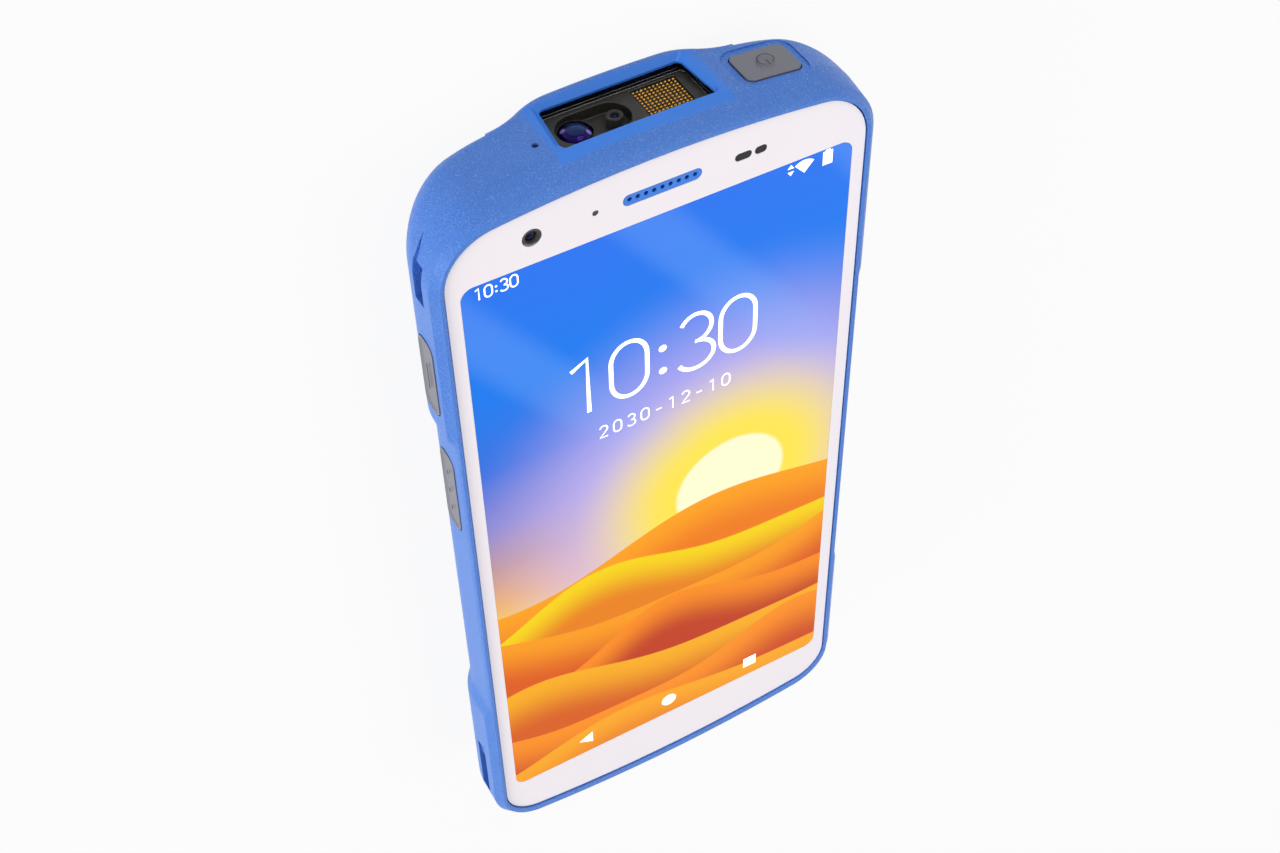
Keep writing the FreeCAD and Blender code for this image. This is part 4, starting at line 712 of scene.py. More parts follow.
def slab(outline: Sequence[Point], origin: Vector, across: Vector, along: Vector, thickness: float) -> Form:
    """A plate with any outline.

    Args:
        outline: its corners, counter-clockwise, in the plane of across and along.
        origin: the outline's origin.
        across: the direction of the outline's first coordinate.
        along: the direction of its second.
        thickness: how far it rises from that plane.

    Returns:
        The closed mesh.
    """
    form = bmesh.new()
    up = across.cross(along)
    foot = [form.verts.new(origin + across * x + along * y) for x, y in outline]
    form.faces.new(list(reversed(foot)))
    top = [form.verts.new(vertex.co + up * thickness) for vertex in foot]
    form.faces.new(top)
    for index, vertex in enumerate(foot):
        after = (index + 1) % len(foot)
        form.faces.new((vertex, foot[after], top[after], top[index]))
    bmesh.ops.recalc_face_normals(form, faces=form.faces)
    return form


def gather(form: Form, other: Form) -> None:
    """Adds one mesh to another, and frees it."""
    passing = bpy.data.meshes.new("passing")
    other.to_mesh(passing)
    other.free()
    form.from_mesh(passing)
    bpy.data.meshes.remove(passing)


def grown(name: str, seed: bpy.types.ID, given: dict[str, object], finish: Finish,
          rule: Callable[[Tree, bpy.types.NodeOutputs], Socket], place: Sequence[Vector]) -> Form:
    """Grows a mesh with Geometry Nodes, and lays it on a plane.

    Args:
        name: the name of the piece.
        seed: the mesh or curve that the rule starts from.
        given: the rule's inputs.
        finish: the finish that the rule gives the mesh.
        rule: adds the rule's own nodes, from the tree and the group's inputs, and returns its geometry.
        place: the plane's origin and the directions of its two coordinates.

    Returns:
        The mesh as editable data.
    """
    kinds = {int: "Int", float: "Float", tuple: "Vector", bpy.types.Material: "Material"}
    given = {**given, "Finish": finish.material()}
    tree = bpy.data.node_groups.new(name + "_rule", "GeometryNodeTree")
    for way in ("INPUT", "OUTPUT"):
        tree.interface.new_socket("Geometry", in_out=way, socket_type="NodeSocketGeometry")
    for label, value in given.items():
        tree.interface.new_socket(label, in_out="INPUT", socket_type="NodeSocket" + kinds[type(value)])
    inlets = add(tree, "NodeGroupInput").outputs
    dressed = add(tree, "GeometryNodeSetMaterial", Geometry=rule(tree, inlets), Material=inlets["Finish"])
    tree.links.new(dressed.outputs[0], add(tree, "NodeGroupOutput").inputs[0])
    holder = link(name + "_seed", seed)
    modifier = holder.modifiers.new("rule", "NODES")
    modifier.node_group = tree
    for item in tree.interface.items_tree:
        if item.in_out == "INPUT" and item.name in given:
            modifier[item.identifier] = given[item.name]
    mesh = evaluated(holder)
    holder.modifiers.remove(modifier)
    bpy.data.objects.remove(holder)
    origin, across, along = place
    turn = Matrix((across, along, across.cross(along))).transposed().to_4x4()
    mesh.transform(Matrix.Translation(origin) @ turn)
    form = bmesh.new()
    form.from_mesh(mesh)
    bpy.data.meshes.remove(mesh)
    return form


class Stud(Enum):
    """Forms that a row repeats."""

    BEAD = "bead"
    BAR = "bar"


@dataclass(frozen=True)
class Row:
    """Rows and columns of one small form on a face."""

    stud: Stud
    columns: int
    rows: int
    pitch: Point
    size: Spot

    def lay(self, name: str, finish: Finish, slot: Slot, *place: Vector, bevel: float = 0.0,
            body: Body = Body.TERMINAL) -> None:
        """Lays the row as a piece.

        Args:
            name: the piece's name.
            finish: its finish.
            slot: its slot.
            place: the middle of its footprint, the direction of its columns and that of its rows.
            bevel: the rounding of its edges.
            body: the body that it rides on.
        """
        given = {"Columns": self.columns, "Rows": self.rows, "Length": self.pitch[0] * (self.columns - 1),
                 "Width": self.pitch[1] * (self.rows - 1), "Size": self.size}
        form = grown(name, bpy.data.meshes.new(name + "_seed"), given, finish, self.rule, place)
        if bevel:
            soften(form, bevel)
        bmesh.ops.recalc_face_normals(form, faces=form.faces)
        settle(form, name, finish, slot, body=body)

    def rule(self, tree: Tree, given: bpy.types.NodeOutputs) -> Socket:
        """A grid of points, and the form on each of them, made real."""
        grid = add(tree, "GeometryNodeMeshGrid", Size_X=given["Length"], Size_Y=given["Width"],
                   Vertices_X=given["Columns"], Vertices_Y=given["Rows"])
        if self.stud is Stud.BEAD:
            stud = add(tree, "GeometryNodeMeshIcoSphere", Radius=0.5, Subdivisions=2)
        else:
            stud = add(tree, "GeometryNodeMeshCube", Size=(1.0, 1.0, 1.0), Vertices_X=2, Vertices_Y=2,
                       Vertices_Z=2)
        placed = add(tree, "GeometryNodeInstanceOnPoints", Points=grid.outputs[0], Instance=stud.outputs[0],
                     Scale=given["Size"])
        return add(tree, "GeometryNodeRealizeInstances", Geometry=placed.outputs[0]).outputs[0]


@dataclass(frozen=True)
class Stroke:
    """Strokes of one width that follow paths, flat or round."""

    width: float
    round: bool = False

    def lay(self, name: str, paths: Sequence[Sequence[Point]], finish: Finish, slot: Slot, *place: Vector,
            body: Body = Body.TERMINAL) -> None:
        """Lays the strokes as a piece.

        Args:
            name: the piece's name.
            paths: the points of each stroke.
            finish: its finish.
            slot: its slot.
            place: where the paths' origin lies, and the directions of their two coordinates.
            body: the body that it rides on.
        """
        line = bpy.data.curves.new(name + "_paths", "CURVE")
        line.dimensions = "3D"
        for path in paths:
            closed = math.dist(path[0], path[-1]) < MERGE
            points = path[:-1] if closed else path
            spline = line.splines.new("POLY")
            spline.points.add(len(points) - 1)
            spline.use_cyclic_u = closed
            for spot, (x, y) in zip(spline.points, points):
                spot.co = (x, y, 0.0, 1.0)
        form = grown(name, line, {"Width": self.width}, finish, self.rule, place)
        form.normal_update()
        if self.round:
            bmesh.ops.recalc_face_normals(form, faces=form.faces)
        else:
            up = place[1].cross(place[2])
            bmesh.ops.reverse_faces(form, faces=[face for face in form.faces if face.normal.dot(up) < 0])
        settle(form, name, finish, slot, body=body)

    def rule(self, tree: Tree, given: bpy.types.NodeOutputs) -> Socket:
        """A circle or a short line that is drawn along the paths."""
        level = add(tree, "GeometryNodeSetCurveNormal", {"mode": "Z_UP"}, Curve=given["Geometry"])
        half = add(tree, MATH, PRODUCT, given["Width"], 0.5)
        if self.round:
            profile = add(tree, "GeometryNodeCurvePrimitiveCircle", Resolution=12, Radius=half)
        else:
            start, end = (add(tree, "ShaderNodeCombineXYZ", X=side).outputs[0]
                          for side in (add(tree, MATH, PRODUCT, half, -1.0), half))
            profile = add(tree, "GeometryNodeCurvePrimitiveLine", Start=start, End=end)
        return add(tree, "GeometryNodeCurveToMesh", Curve=level.outputs[0],
                   Profile_Curve=profile.outputs[0]).outputs[0]


@dataclass(frozen=True)
class Softened:
    """A CAD node that shows in its own shape, with its sharp edges rounded by a width in millimetres."""

    node: str
    name: str
    finish: Finish
    slot: Slot
    edge: float
    segments: int = 2
    body: Body = Body.TERMINAL

    def build(self) -> None:
        """Builds the piece."""
        form = soften(merged(self.node), self.edge * MM, self.segments)
        settle(form, self.name, self.finish, self.slot, self.node, body=self.body)


SOFTENED = (
    Softened("front_panel", "dressed_panel", WHITE_INK, Slot.PANEL, 0.07),
    Softened("earpiece_grille", "dressed_grille", POLISHED_BLUE, Slot.SHELL, 0.06),
    Softened("status_lamp_lens", "dressed_lamp", LAMP_LENS, Slot.LAMP, 0.08),
    Softened("sensor_windows", "dressed_sensor_windows", SMOKED_ACRYLIC, Slot.DARK_WINDOW, 0.06),
    Softened("display_glass", "dressed_display", SCREEN, Slot.GLASS, 0.05),
    Softened("scan_window", "dressed_pane", SCAN_PANE, Slot.PANE, 0.06),
    Softened("scan_window_gasket", "dressed_pane_seal", GLOSS_BLACK, Slot.RUBBER, 0.08),
    Softened("scan_engine_body", "dressed_engine", CHARCOAL, Slot.BLACK, 0.16, 3),
    Softened("illumination_diffuser", "diffuser_plate", GOLD_REFLECTOR, Slot.DIFFUSER, 0.1),
    Softened("battery_cover", "dressed_cover", PACK_NYLON, Slot.PACK, 0.3, 3, Body.PACK),
    Softened("battery_latch_left", "dressed_battery_latch_left", BLACK_ABS, Slot.PACK, 0.2, 2,
             Body.LEFT_LATCH),
    Softened("battery_latch_right", "dressed_battery_latch_right", BLACK_ABS, Slot.PACK, 0.2, 2,
             Body.RIGHT_LATCH),
    Softened("charging_pins", "dressed_pins", GOLD_PLATE, Slot.GOLD, 0.2, 3),
    Softened("rear_camera_window", "dressed_rear_window", SMOKED_ACRYLIC, Slot.DARK_WINDOW, 0.12, 3),
    Softened("usb_socket_shell", "dressed_socket", DRAWN_STEEL, Slot.STEEL, 0.05),
    Softened("usb_socket_tongue", "dressed_tongue", BLACK_ABS, Slot.BLACK, 0.12),
)


@dataclass
class Shell:
    """The one-piece blue shell, with a polished frame round the imager's recess."""

    edge: float = 0.14 * MM
    edge_angle: float = 40.0
    edge_length: float = 0.02 * MM
    recess_drop: float = 4.0 * MM
    frame_side: float = 0.6 * MM
    frame_head: float = 1.8 * MM
    facing: float = 0.93

    def build(self) -> None:
        """Dresses the shell, with its sharp edges softened and the recess smoother than the rest."""
        form = soften(merged("housing_shell"), self.edge, angle=self.edge_angle, least=self.edge_length)
        window = Box("scan_window")
        left, right = window.low.x - self.frame_side, window.high.x + self.frame_side
        high = window.high.z + self.frame_head
        front = Box("housing_shell").high.y - self.recess_drop
        for spot, normal in (((left, 0, 0), RIGHT), ((right, 0, 0), RIGHT), ((0, 0, high), UP)):
            near = [face for face in form.faces if face.calc_center_median().y > front
                    and abs(face.calc_center_median().x) < 2 * right]
            near += [edge for edge in form.edges if edge.verts[0].co.y > front]
            near += [corner for corner in form.verts if corner.co.y > front]
            bmesh.ops.bisect_plane(form, geom=near, dist=MERGE, plane_co=spot, plane_no=normal)
        form.normal_update()
        for face in form.faces:
            spot = face.calc_center_median()
            face.material_index = int(left < spot.x < right and spot.z < high and spot.y > front
                                      and (face.normal.y < self.facing or spot.z > window.low.z))
        settle(form, "dressed_shell", (GRAINED_BLUE, POLISHED_BLUE), Slot.SHELL, "housing_shell")


@dataclass
class FrontOpenings:
    """The cloth behind the earpiece and the front camera, above the display.

    The camera's ring is some rims wide, its inner edge and the funnel's edges dip by shares of a rim, and the
    funnel narrows down to a share of its depth.
    """

    cloth_margin: float = 0.3 * MM
    cloth_drop: float = 0.12 * MM
    cloth_thickness: float = 0.1 * MM
    rim: float = 0.12 * MM
    ring_rims: float = 2.8
    ring_dip: float = 0.4
    funnel_dips: Point = (0.5, 0.9)
    throat: float = 0.5
    dome_rise: float = 0.25 * MM
    clearance: float = 0.98

    def build(self) -> None:
        """Builds both."""
        grille = Box("earpiece_grille")
        outline = stadium(grille.size.x - self.cloth_margin, grille.size.y - self.cloth_margin)
        cloth = slab(outline, grille.at(z=0) - UP * self.cloth_drop, RIGHT, AHEAD, self.cloth_thickness)
        settle(cloth, "earpiece_cloth", SOUND_CLOTH, Slot.BLACK)
        self.camera()

    def camera(self) -> None:
        """The front camera: a turned ring with a stepped funnel, and the lens at its foot."""
        box, lens = Box("front_camera_ring"), Box("front_camera_lens")
        outer, inner, foot, top, rim = box.size.x / 2, lens.size.x / 2, box.low.z, box.high.z, self.rim
        base = Vector((*box.at().xy, 0.0))
        step = outer - self.ring_rims * rim
        outer_dip, inner_dip = (share * rim for share in self.funnel_dips)
        ring = ((step + SKIN, foot), (outer, foot), (outer, top - rim), (outer - rim, top),
                (step + SKIN, top - self.ring_dip * rim), (step + SKIN, foot))
        funnel = ((inner, foot), (step, foot), (step, top - outer_dip), (inner + rim, top - inner_dip),
                  (inner, foot + self.throat * (top - foot)), (inner, foot))
        settle(lathe(ring, base, UP), "camera_ring", GLOSS_BLACK, Slot.BLACK, "front_camera_ring")
        settle(lathe(funnel, base, UP), "camera_funnel", MATT_GREY, Slot.BLACK)
        glass = CoatedLens("front_camera_glass", "#05061A", 0.06, ior=1.35, rim="#0A0A14", tint="#6A70FF",
                           middle=(base.x, base.y), radius=inner)
        reach, level = inner * self.clearance, lens.high.z
        profile = [(0.0, foot), (reach, foot), *dome(reach, level - self.dome_rise, level, 8)]
        settle(lathe(profile, base, UP), "camera_glass", glass, Slot.LENS, "front_camera_lens")


# The strokes of each sign, in a box one unit high and 0.62 wide, centred on its width.
SIGNS: dict[str, list[list[Point]]] = {
    "0": [arc((0, 0.68), (0.27, 0.32), 0, 180) + arc((0, 0.32), (0.27, 0.32), 180, 360) + [(0.27, 0.68)]],
    "1": [[(-0.2, 0.86), (0.04, 1.0), (0.04, 0.0)]],
    "2": [arc((0, 0.72), (0.26, 0.28), 165, -38) + [(-0.27, 0.0), (0.28, 0.0)]],
    "3": [arc((0, 0.745), (0.24, 0.255), 155, -88) + arc((0, 0.245), (0.28, 0.255), 88, -155)],
    "-": [[(-0.2, 0.42), (0.2, 0.42)]],
    ":": [arc((0, level), (0.03, 0.03), 0, 360, 8) for level in (0.2, 0.62)],
}
# The outlines of the softkeys and the status icons, in millimetres from the display's middle.
ICONS: dict[str, Sequence[Point]] = {
    "softkey_back": ((-17.156, -63.8), (-17.156, -60.6), (-20.1, -62.2)),
    "softkey_home": arc((0.0, -62.2), (1.6, 1.6), 0, 354, 40),
    "softkey_tasks": ((17.26, -63.64), (20.14, -63.64), (20.14, -60.76), (17.26, -60.76)),
    "icon_battery": ((28.6, 63.4), (30.4, 63.4), (30.4, 66.1), (29.95, 66.1), (29.95, 66.4), (29.05, 66.4),
                     (29.05, 66.1), (28.6, 66.1)),
    "icon_signal": [(25.2, 63.5)] + arc((25.2, 63.5), (2.6, 2.6), 48, 132, 12),
    "icon_upload": ((22.1, 65.3), (23.3, 65.3), (22.7, 66.1)),
    "icon_download": ((22.1, 64.7), (22.7, 63.9), (23.3, 64.7)),
}


@dataclass(frozen=True)
class Line:
    """One line of signs on the display, in millimetres from the display's middle."""

    text: str
    height: float
    advance: float
    start: Point
    colon_share: float = 0.55

    def paths(self) -> list[list[Point]]:
        """The strokes of its signs, in metres."""
        paths, (x, y) = [], self.start
        for sign in self.text:
            half = self.advance * (self.colon_share if sign == ":" else 1.0) / 2
            x += half
            paths += [scaled([(x + px * self.height, y + py * self.height) for px, py in path])
                      for path in SIGNS[sign]]
            x += half
        return paths


@dataclass
class Marks:
    """What the display shows over its picture: the hour, the date, small icons and three softkeys."""

    lift: float = 0.02 * MM
    plate_share: float = 0.9
    texts: tuple[tuple[str, float, tuple[Line, ...]], ...] = (
        ("clock_digits", 0.85 * MM, (Line("10:30", 12.3, 8.0, (-18.6, 30.0)),)),
        ("small_digits", 0.28 * MM, (Line("10:30", 2.3, 1.65, (-32.0, 63.6)),
                                     Line("2030-12-10", 2.7, 2.6, (-13.0, 22.6)))),
    )

    def build(self) -> None:
        """Puts the marks just over the cover glass."""
        top = Box("display_glass").high.z + self.lift
        for name, width, lines in self.texts:
            paths = [path for line in lines for path in line.paths()]
            Stroke(width).lay(name, paths, LIT_WHITE, Slot.GLASS, UP * top, RIGHT, AHEAD)
        rise = self.lift * self.plate_share
        for name, outline in ICONS.items():
            settle(slab(scaled(outline), UP * (top - rise), RIGHT, AHEAD, rise), name, LIT_WHITE, Slot.GLASS)


@dataclass
class ScanEnd:
    """The lenses, beads and webs round the imager, behind its window at the scanning end."""

    bezel: float = 1.45 * MM
    bead_width: float = 0.3 * MM
    bead_corner: float = 0.9 * MM
    mouth_round: float = 1.5 * MM
    mouth_level: float = 79.9 * MM
    mouth_inset: Point = (0.72 * MM, 0.36 * MM)
    web_reach: Point = (0.5 * MM, 0.15 * MM)
    web_depth: float = 0.45 * MM
    stud_pitch: float = 0.7 * MM
    stud_share: Point = (0.78, 0.6)
    barrel_bevel: float = 0.1 * MM
    clearance: float = 0.985
    edge_share: float = 0.24

    def build(self) -> None:
        """Builds the lenses, the diffuser's beads, the bead round the window and the mouth's corners."""
        # Painted highlights: violet glints painted on the glass to both sides of the axis, for the coating's
        # shine off the barrel's inner rings.
        flares = ((-0.62, 0.0, -0.3), (0.62, 0.0, 0.42))
        self.lens("imager", GLOSS_BLACK, 0.1 * MM, 0.36 * MM, base="#0A3458", rim="#1A0E62", flares=flares)
        self.lens("aimer", MATT_GREY, 0.62 * MM, 0.0, base="#0A0F4A", rim="#10102C")
        self.studs()
        self.bead()
        self.corners()

    def corners(self) -> None:
        """The rounded lower corners of the recess's mouth, as thin webs of the shell's plastic."""
        form, right, high, radius = bmesh.new(), *Box("scan_window").high.xz, self.mouth_round
        x, z = right - self.mouth_inset[0] - radius, high - self.mouth_inset[1] - radius
        side, foot = right + self.web_reach[0], z + radius + self.web_reach[1]
        outline = [(side, z), (side, foot), (x, foot), *arc((x, z), (radius, radius), 90, 0, 10)]
        for turn in (-1, 1):
            sided = [(-turn * across, along) for across, along in outline][::-turn]
            gather(form, slab(sided, AHEAD * self.mouth_level, -RIGHT, UP, self.web_depth))
        settle(form, "mouth_corners", POLISHED_BLUE, Slot.SHELL)

    def bead(self) -> None:
        """The glossy bead round the window, just behind the pane."""
        window, corner = Box("scan_window"), self.bead_corner
        width, height = (length / 2 - self.bezel - corner for length in window.size.xz)
        path = []
        for across, along, start in ((1, 1, 0), (-1, 1, 90), (-1, -1, 180), (1, -1, 270)):
            path += arc((across * width, along * height), (corner, corner), start, start + 90, 6)
        centre = window.at()
        centre.y = Box("scan_engine_body").high.y
        Stroke(self.bead_width, round=True).lay("window_bead", [path + path[:1]], GLOSS_BLACK, Slot.BLACK,
                                                centre, -RIGHT, UP)

    def lens(self, name: str, tube_finish: Finish, wall: float, bulge: float, **glass: object) -> None:
        """One lens in its barrel: a stepped tube, and a domed element that bulges from it.

        Args:
            name: which of the two it is.
            tube_finish: the finish of its barrel.
            wall: how thick the barrel's rim is.
            bulge: how far the glass stands out of the solid lens, under the pane.
            glass: the glass's shades and painted highlights.
        """
        lens, barrel = Box(name + "_lens"), Box(name + "_barrel")
        foot = lens.at(y=0)
        outer, depth = barrel.size.x / 2, barrel.size.y
        radius, bevel = outer - wall, min(self.barrel_bevel, wall / 3)
        tube = ((radius, 0.0), (outer, 0.0), (outer, depth - bevel), (outer - bevel, depth),
                (radius + bevel, depth), (radius, depth - bevel), (radius, 0.0))
        settle(lathe(tube, Vector((foot.x, barrel.low.y, foot.z)), AHEAD), name + "_tube", tube_finish,
               Slot.BLACK, name + "_barrel")
        rise, reach = lens.size.y + bulge, radius * self.clearance
        profile = [(0.0, 0.0), (reach, 0.0), *dome(reach, rise * self.edge_share, rise, 14)]
        finish = CoatedLens(name + "_glass", roughness=0.03, middle=(foot.x, foot.z), radius=radius,
                            upright=True, **glass)
        settle(lathe(profile, foot, AHEAD, 64), name + "_element", finish, Slot.LENS, name + "_lens")

    def studs(self) -> None:
        """The rows of small beads over the lit diffuser."""
        plate = Box("illumination_diffuser")
        columns, rows = (round(length / self.stud_pitch) for length in plate.size.xz)
        pitch = (plate.size.x / columns, plate.size.z / rows)
        width, height = self.stud_share
        row = Row(Stud.BEAD, columns, rows, pitch, (pitch[0] * width, pitch[1] * width, pitch[0] * height))
        row.lay("diffuser_beads", GOLD_BEAD, Slot.DIFFUSER, plate.at(y=1), -RIGHT, UP)


@dataclass
class Keys:
    """The five keys in the shell's edges, with chamfered caps and sunk marks.

    A side key has its node, its body, the side it is on, and the place and length of each mark along it in
    millimetres.
    """

    chamfer: float = 0.8 * MM
    drop: float = 0.32 * MM
    fillet: float = 0.16 * MM
    fillet_angle: float = 14.0
    sharp: float = 50.0
    facing: float = 0.99
    cap_depth: float = 0.01 * MM
    mark_width: float = 0.34 * MM
    ring: float = 1.3 * MM
    ring_width: float = 0.2 * MM
    side_keys: tuple[tuple[str, Body, int, tuple[Point, ...]], ...] = (
        ("left_talk_key", Body.TALK_KEY, -1, ((0.0, 5.6),)),
        ("left_scan_key", Body.LEFT_SCAN_KEY, -1, ((4.4, 1.1), (0.0, 1.1), (-4.4, 1.1))),
        ("right_volume_key", Body.VOLUME_KEY, 1, ((4.6, 1.7), (-4.6, 1.7))),
        ("right_scan_key", Body.RIGHT_SCAN_KEY, 1, ((4.4, 1.1), (0.0, 1.1), (-4.4, 1.1))),
    )

    def build(self) -> None:
        """Builds each key and its marks."""
        for node, body, side, marks in self.side_keys:
            self.cap(node, body, RIGHT * side)
            self.marks(node, body, side, marks)
        self.cap("power_key", Body.POWER_KEY, AHEAD)
        sign = [arc((0, 0), (self.ring, self.ring), 122, 418, 36), scaled(((0, 0.1), (0, 1.55)))]
        centre = Box("power_key").at(y=1) + AHEAD * SKIN
        Stroke(self.ring_width).lay("power_sign", sign, KEY_MARK, Slot.KEY, centre, -RIGHT, UP,
                                    body=Body.POWER_KEY)

    def cap(self, node: str, body: Body, out: Vector) -> None:
        """A key with a chamfer round its cap, which faces out, softened all over."""
        form = merged(node)
        reach = max(vertex.co.dot(out) for vertex in form.verts)
        top = [face for face in form.faces if face.normal.dot(out) > self.facing
               and face.calc_center_median().dot(out) > reach - self.cap_depth]
        rim = {vertex for face in top for vertex in face.verts}
        bmesh.ops.inset_region(form, faces=top, thickness=self.chamfer, use_even_offset=True)
        for vertex in rim:
            vertex.co -= out * self.drop
        form.normal_update()
        soften(form, self.fillet, segments=3, angle=self.fillet_angle)
        settle(form, "dressed_" + node, KEY_GREY, Slot.KEY, node, body=body, sharp=self.sharp)

    def marks(self, node: str, body: Body, side: int, marks: Sequence[Point]) -> None:
        """The short bars on one side key, just over its cap."""
        form, face = bmesh.new(), Box(node).at(x=max(side, 0)) - RIGHT * side * SKIN
        for shift, length in marks:
            bar = stadium(length * MM, self.mark_width, 6)
            gather(form, slab(bar, face + AHEAD * shift * MM, AHEAD, UP * side, 2 * SKIN))
        settle(form, node + "_mark", KEY_MARK, Slot.KEY, body=body)


@dataclass
class BackSide:
    """The small forms on the back: ribs, screws, and the rings and discs of the rear camera and its flash."""

    grip_pitch: float = 2.2 * MM
    grip_size: Spot = (24 * MM, 0.8 * MM, 0.3 * MM)
    grip_place: float = 13 * MM
    grip_bevel: float = 0.1 * MM
    latch_pitch: float = 1.1 * MM
    latch_share: float = 0.75
    rib_width: float = 0.5 * MM
    rib_height: float = 0.2 * MM
    rib_bevel: float = 0.08 * MM
    head_radius: float = 1.9 * MM
    lobe: float = 0.13 * MM
    camera_spot: Point = (-3.5 * MM, 57.5 * MM)
    flash_spot: Point = (6.0 * MM, 57.5 * MM)
    lens_radius: float = 2.1 * MM

    def build(self) -> None:
        """Builds the pieces."""
        low = Box("battery_cover").low
        grip = Row(Stud.BAR, 1, 6, (0.0, self.grip_pitch), self.grip_size)
        grip.lay("cover_grip", PACK_NYLON, Slot.PACK, Vector((0, low.y + self.grip_place, low.z)), RIGHT,
                 -AHEAD, bevel=self.grip_bevel, body=Body.PACK)
        for side, body in (("left", Body.LEFT_LATCH), ("right", Body.RIGHT_LATCH)):
            node = "battery_latch_" + side
            latch = Box(node)
            row = Row(Stud.BAR, 1, 4, (0.0, self.latch_pitch),
                      (latch.size.x * self.latch_share, self.rib_width, self.rib_height))
            row.lay(node + "_ribs", BLACK_ABS, Slot.PACK, latch.at(z=0), RIGHT, -AHEAD,
                    bevel=self.rib_bevel, body=body)
        self.screws()
        self.rear_camera()

    def screws(self) -> None:
        """The four shell screws: chamfered heads with a six-lobed recess."""
        box, inset = Box("housing_screws"), self.head_radius
        profile = scaled(((0.0, 0.85), (0.78, 0.85), (0.78, 0.0), (1.66, 0.0), (1.9, 0.22), (1.9, 1.4),
                          (1.0, 1.4)))
        profile += [(1.0 * MM, box.size.z), (0.0, box.size.z)]

        def lobes(ring: int, angle: float) -> float:
            """The recess's walls wave in and out six times."""
            return self.lobe * math.cos(6 * angle) if ring in (1, 2) else 0.0

        form = bmesh.new()
        for x in (box.low.x + inset, box.high.x - inset):
            for y in (box.low.y + inset, box.high.y - inset):
                gather(form, lathe(profile, Vector((x, y, box.low.z)), UP, 72, lobes))
        settle(form, "dressed_screws", BLACK_SCREW, Slot.SCREW, "housing_screws")

    def rear_camera(self) -> None:
        """The metal ring and the glass of the rear camera, and the flash's film, on the smoked window."""
        face = Box("rear_camera_window").low.z
        spot, radius = Vector((*self.camera_spot, face)), self.lens_radius
        ring = scaled(((2.1, 0.0), (2.7, 0.0), (2.7, 0.06), (2.62, 0.1), (2.18, 0.1), (2.1, 0.06),
                       (2.1, 0.0)))
        settle(lathe(ring, spot, -UP, 64), "rear_lens_ring", BLACK_SCREW, Slot.DARK_WINDOW)
        glass = CoatedLens("rear_camera_glass", "#0A1030", 0.04, rim="#160C40", middle=self.camera_spot,
                           radius=radius)
        disc = ((0.0, 0.0), (radius - SKIN, 0.0), (radius - SKIN, 0.02 * MM), (radius * 0.6, 0.06 * MM),
                (0.0, 0.07 * MM))
        settle(lathe(disc, spot, -UP, 64), "rear_lens_glass", glass, Slot.LENS)
        film = scaled(((0.0, 0.0), (1.5, 0.0), (1.5, 0.05), (1.42, 0.08), (0.0, 0.08)))
        settle(lathe(film, Vector((*self.flash_spot, face)), -UP), "flash_film", FLASH_FILM, Slot.LAMP)


@dataclass
class FootEnd:
    """The socket's contacts, and the cloth in the sound and microphone holes, whose places are in mm."""

    contact_pitch: float = 0.5 * MM
    contacts: int = 12
    contact_width: float = 0.26 * MM
    contact_height: float = 0.04 * MM
    contact_length: float = 0.7
    contact_place: float = 0.42
    cloth_radius: float = 0.53 * MM
    holes: tuple[Spot, ...] = (
        (9.8, -79.9, 6.4), (12.0, -79.9, 6.4), (14.2, -79.9, 6.4), (16.4, -79.9, 6.4), (18.6, -79.9, 6.4),
        (-12.0, -79.9, 10.0), (-16.3, 79.7, 10.0),
    )

    def build(self) -> None:
        """Builds two rows of contacts on the tongue, and the cloth."""
        tongue = Box("usb_socket_tongue")
        strip = Row(Stud.BAR, self.contacts, 1, (self.contact_pitch, 0.0),
                    (self.contact_width, tongue.size.y * self.contact_length, self.contact_height))
        for name, level, turn in (("upper", 1, 1), ("lower", 0, -1)):
            centre = tongue.at(y=self.contact_place, z=level)
            strip.lay("socket_contacts_" + name, GOLD_PLATE, Slot.GOLD, centre, RIGHT * turn, AHEAD)
        form = bmesh.new()
        disc = ((0.0, 0.0), (self.cloth_radius, 0.0), (self.cloth_radius, 0.1 * MM), (0.0, 0.1 * MM))
        for x, y, z in self.holes:
            gather(form, lathe(disc, Vector((x, y, z)) * MM, AHEAD * math.copysign(1, y), 24))
        settle(form, "hole_cloth", SOUND_CLOTH, Slot.BLACK)


@dataclass
class Insides:
    """Every CAD node that no new piece stands for, with the finish of its slot."""

    def build(self) -> None:
        """Gives each node that still shows its finish."""
        for name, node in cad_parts.items():
            if node.hide_render:
                continue
            finish = INSIDE_FINISHES[Slot(node.material_slots[0].material.name.split(".")[0])]
            for held in node.material_slots:
                held.material = finish.material()
            LOG.info("%s keeps its solid form, finished as %s", name, finish.name)


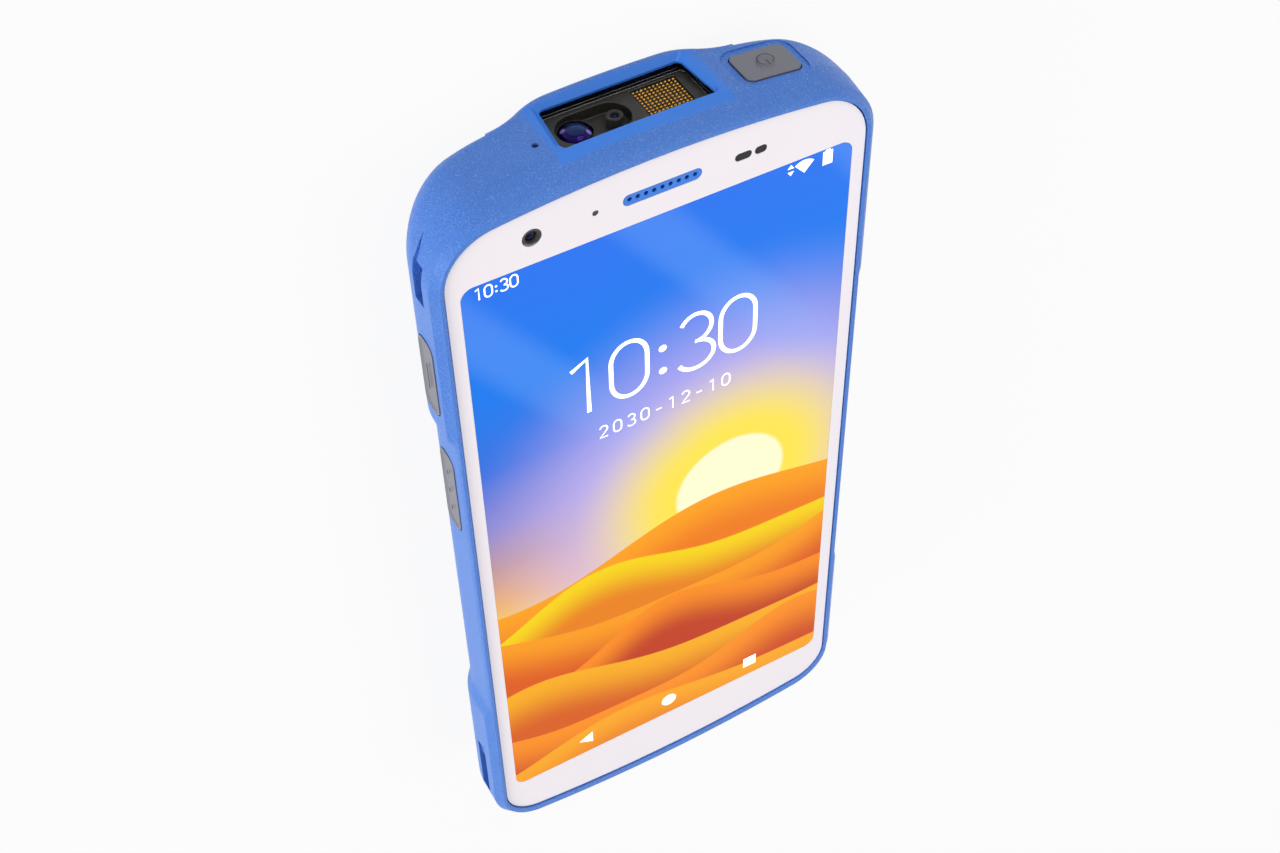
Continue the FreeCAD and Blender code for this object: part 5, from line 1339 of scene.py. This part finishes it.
@dataclass
class Studio:
    """Pale floor, soft lamps, white surroundings and the photograph's camera.

    A lamp has its name, its place, its size and its power.
    """

    camera_place: Spot = (-0.1100, 0.26725, 0.2144)
    camera_right: Spot = (0.8716, -0.0173, 0.4900)
    camera_back: Spot = (-0.3172, 0.7422, 0.5904)
    lens: float = 55.99
    sensor: float = 36.0
    nearest: float = 0.01
    floor_size: float = 6.0
    floor_drop: float = 0.02 * MM
    floor_share: float = 0.92
    air_light: float = 0.4
    lamps: tuple[tuple[str, Spot, float, float], ...] = (
        ("key_lamp", (-1.1, 0.1, 0.2), 0.7, 12.6),
        ("top_lamp", (0.5, -0.12, 0.95), 0.9, 4.5),
        ("front_lamp", (0.25, 1.0, 0.35), 0.6, 2.9),
    )

    def build(self) -> None:
        """Builds the floor, the lamps, the world and the camera."""
        self.floor()
        for name, spot, size, power in self.lamps:
            lamp = bpy.data.lights.new(name, "AREA")
            lamp.shape, lamp.size, lamp.energy = "DISK", size, power
            holder = link(name, lamp)
            holder.location = spot
            holder.rotation_euler = (-Vector(spot)).to_track_quat("-Z", "Y").to_euler()
        self.world()
        self.camera()
        bpy.context.scene.view_settings.view_transform = "Standard"

    def direct(self, tree: Tree, *rays: str) -> Socket:
        """Whether what meets the surface is one of some kinds of ray."""
        path = add(tree, "ShaderNodeLightPath").outputs
        seen = path[rays[0]]
        for ray in rays[1:]:
            seen = add(tree, MATH, LARGER, seen, path[ray]).outputs[0]
        return seen

    def floor(self) -> None:
        """A plain white floor that keeps the terminal's soft shadow."""
        half = self.floor_size / 2
        form = bmesh.new()
        form.faces.new([form.verts.new((x, y, -self.floor_drop))
                        for x, y in ((-half, -half), (half, -half), (half, half), (-half, half))])
        mesh = bpy.data.meshes.new("floor")
        form.to_mesh(mesh)
        form.free()
        paint = bpy.data.materials.new("floor_paint")
        tree = fresh(paint)
        matt = add(tree, "ShaderNodeBsdfDiffuse", Color=colour("#DCDCE0"))
        bright = add(tree, "ShaderNodeEmission", Color=(1.0, 1.0, 1.0, 1.0), Strength=1.0)
        seen = add(tree, MATH, PRODUCT, self.direct(tree, "Is Camera Ray", "Is Glossy Ray"), self.floor_share)
        mix = add(tree, "ShaderNodeMixShader", Fac=seen, Shader=matt.outputs[0], Shader_001=bright.outputs[0])
        add(tree, "ShaderNodeOutputMaterial", Surface=mix.outputs[0])
        mesh.materials.append(paint)
        link("floor", mesh)

    def world(self) -> None:
        """White where it is seen or mirrored, and softer as light."""
        world = bpy.data.worlds.new("studio_air")
        bpy.context.scene.world = world
        tree = fresh(world)
        shown = self.direct(tree, "Is Camera Ray", "Is Glossy Ray", "Is Transmission Ray")
        air = add(tree, "ShaderNodeBackground", Color=(1.0, 1.0, 1.0, 1.0),
                  Strength=add(tree, RANGE, None, shown, 0.0, 1.0, self.air_light, 1.0))
        add(tree, "ShaderNodeOutputWorld", Surface=air.outputs[0])

    def camera(self) -> None:
        """The photograph's camera, from its place and two of its axes."""
        right, back = Vector(self.camera_right).normalized(), Vector(self.camera_back).normalized()
        turn = Matrix((right, back.cross(right).normalized(), back)).transposed()
        data = bpy.data.cameras.new("camera")
        data.lens, data.sensor_width, data.clip_start = self.lens, self.sensor, self.nearest
        holder = link("camera", data)
        holder.matrix_world = Matrix.Translation(self.camera_place) @ turn.to_4x4()
        bpy.context.scene.camera = holder


def main() -> None:
    """Builds every sub-assembly, then the studio round it."""
    logging.basicConfig(level=logging.INFO, format="%(name)s: %(message)s")
    for part in (Shell(), *SOFTENED, FrontOpenings(), Marks(), ScanEnd(), Keys(), BackSide(), FootEnd(),
                 Insides(), Studio()):
        LOG.info("building %s", type(part).__name__)
        part.build()


if __name__ == "__main__":
    main()
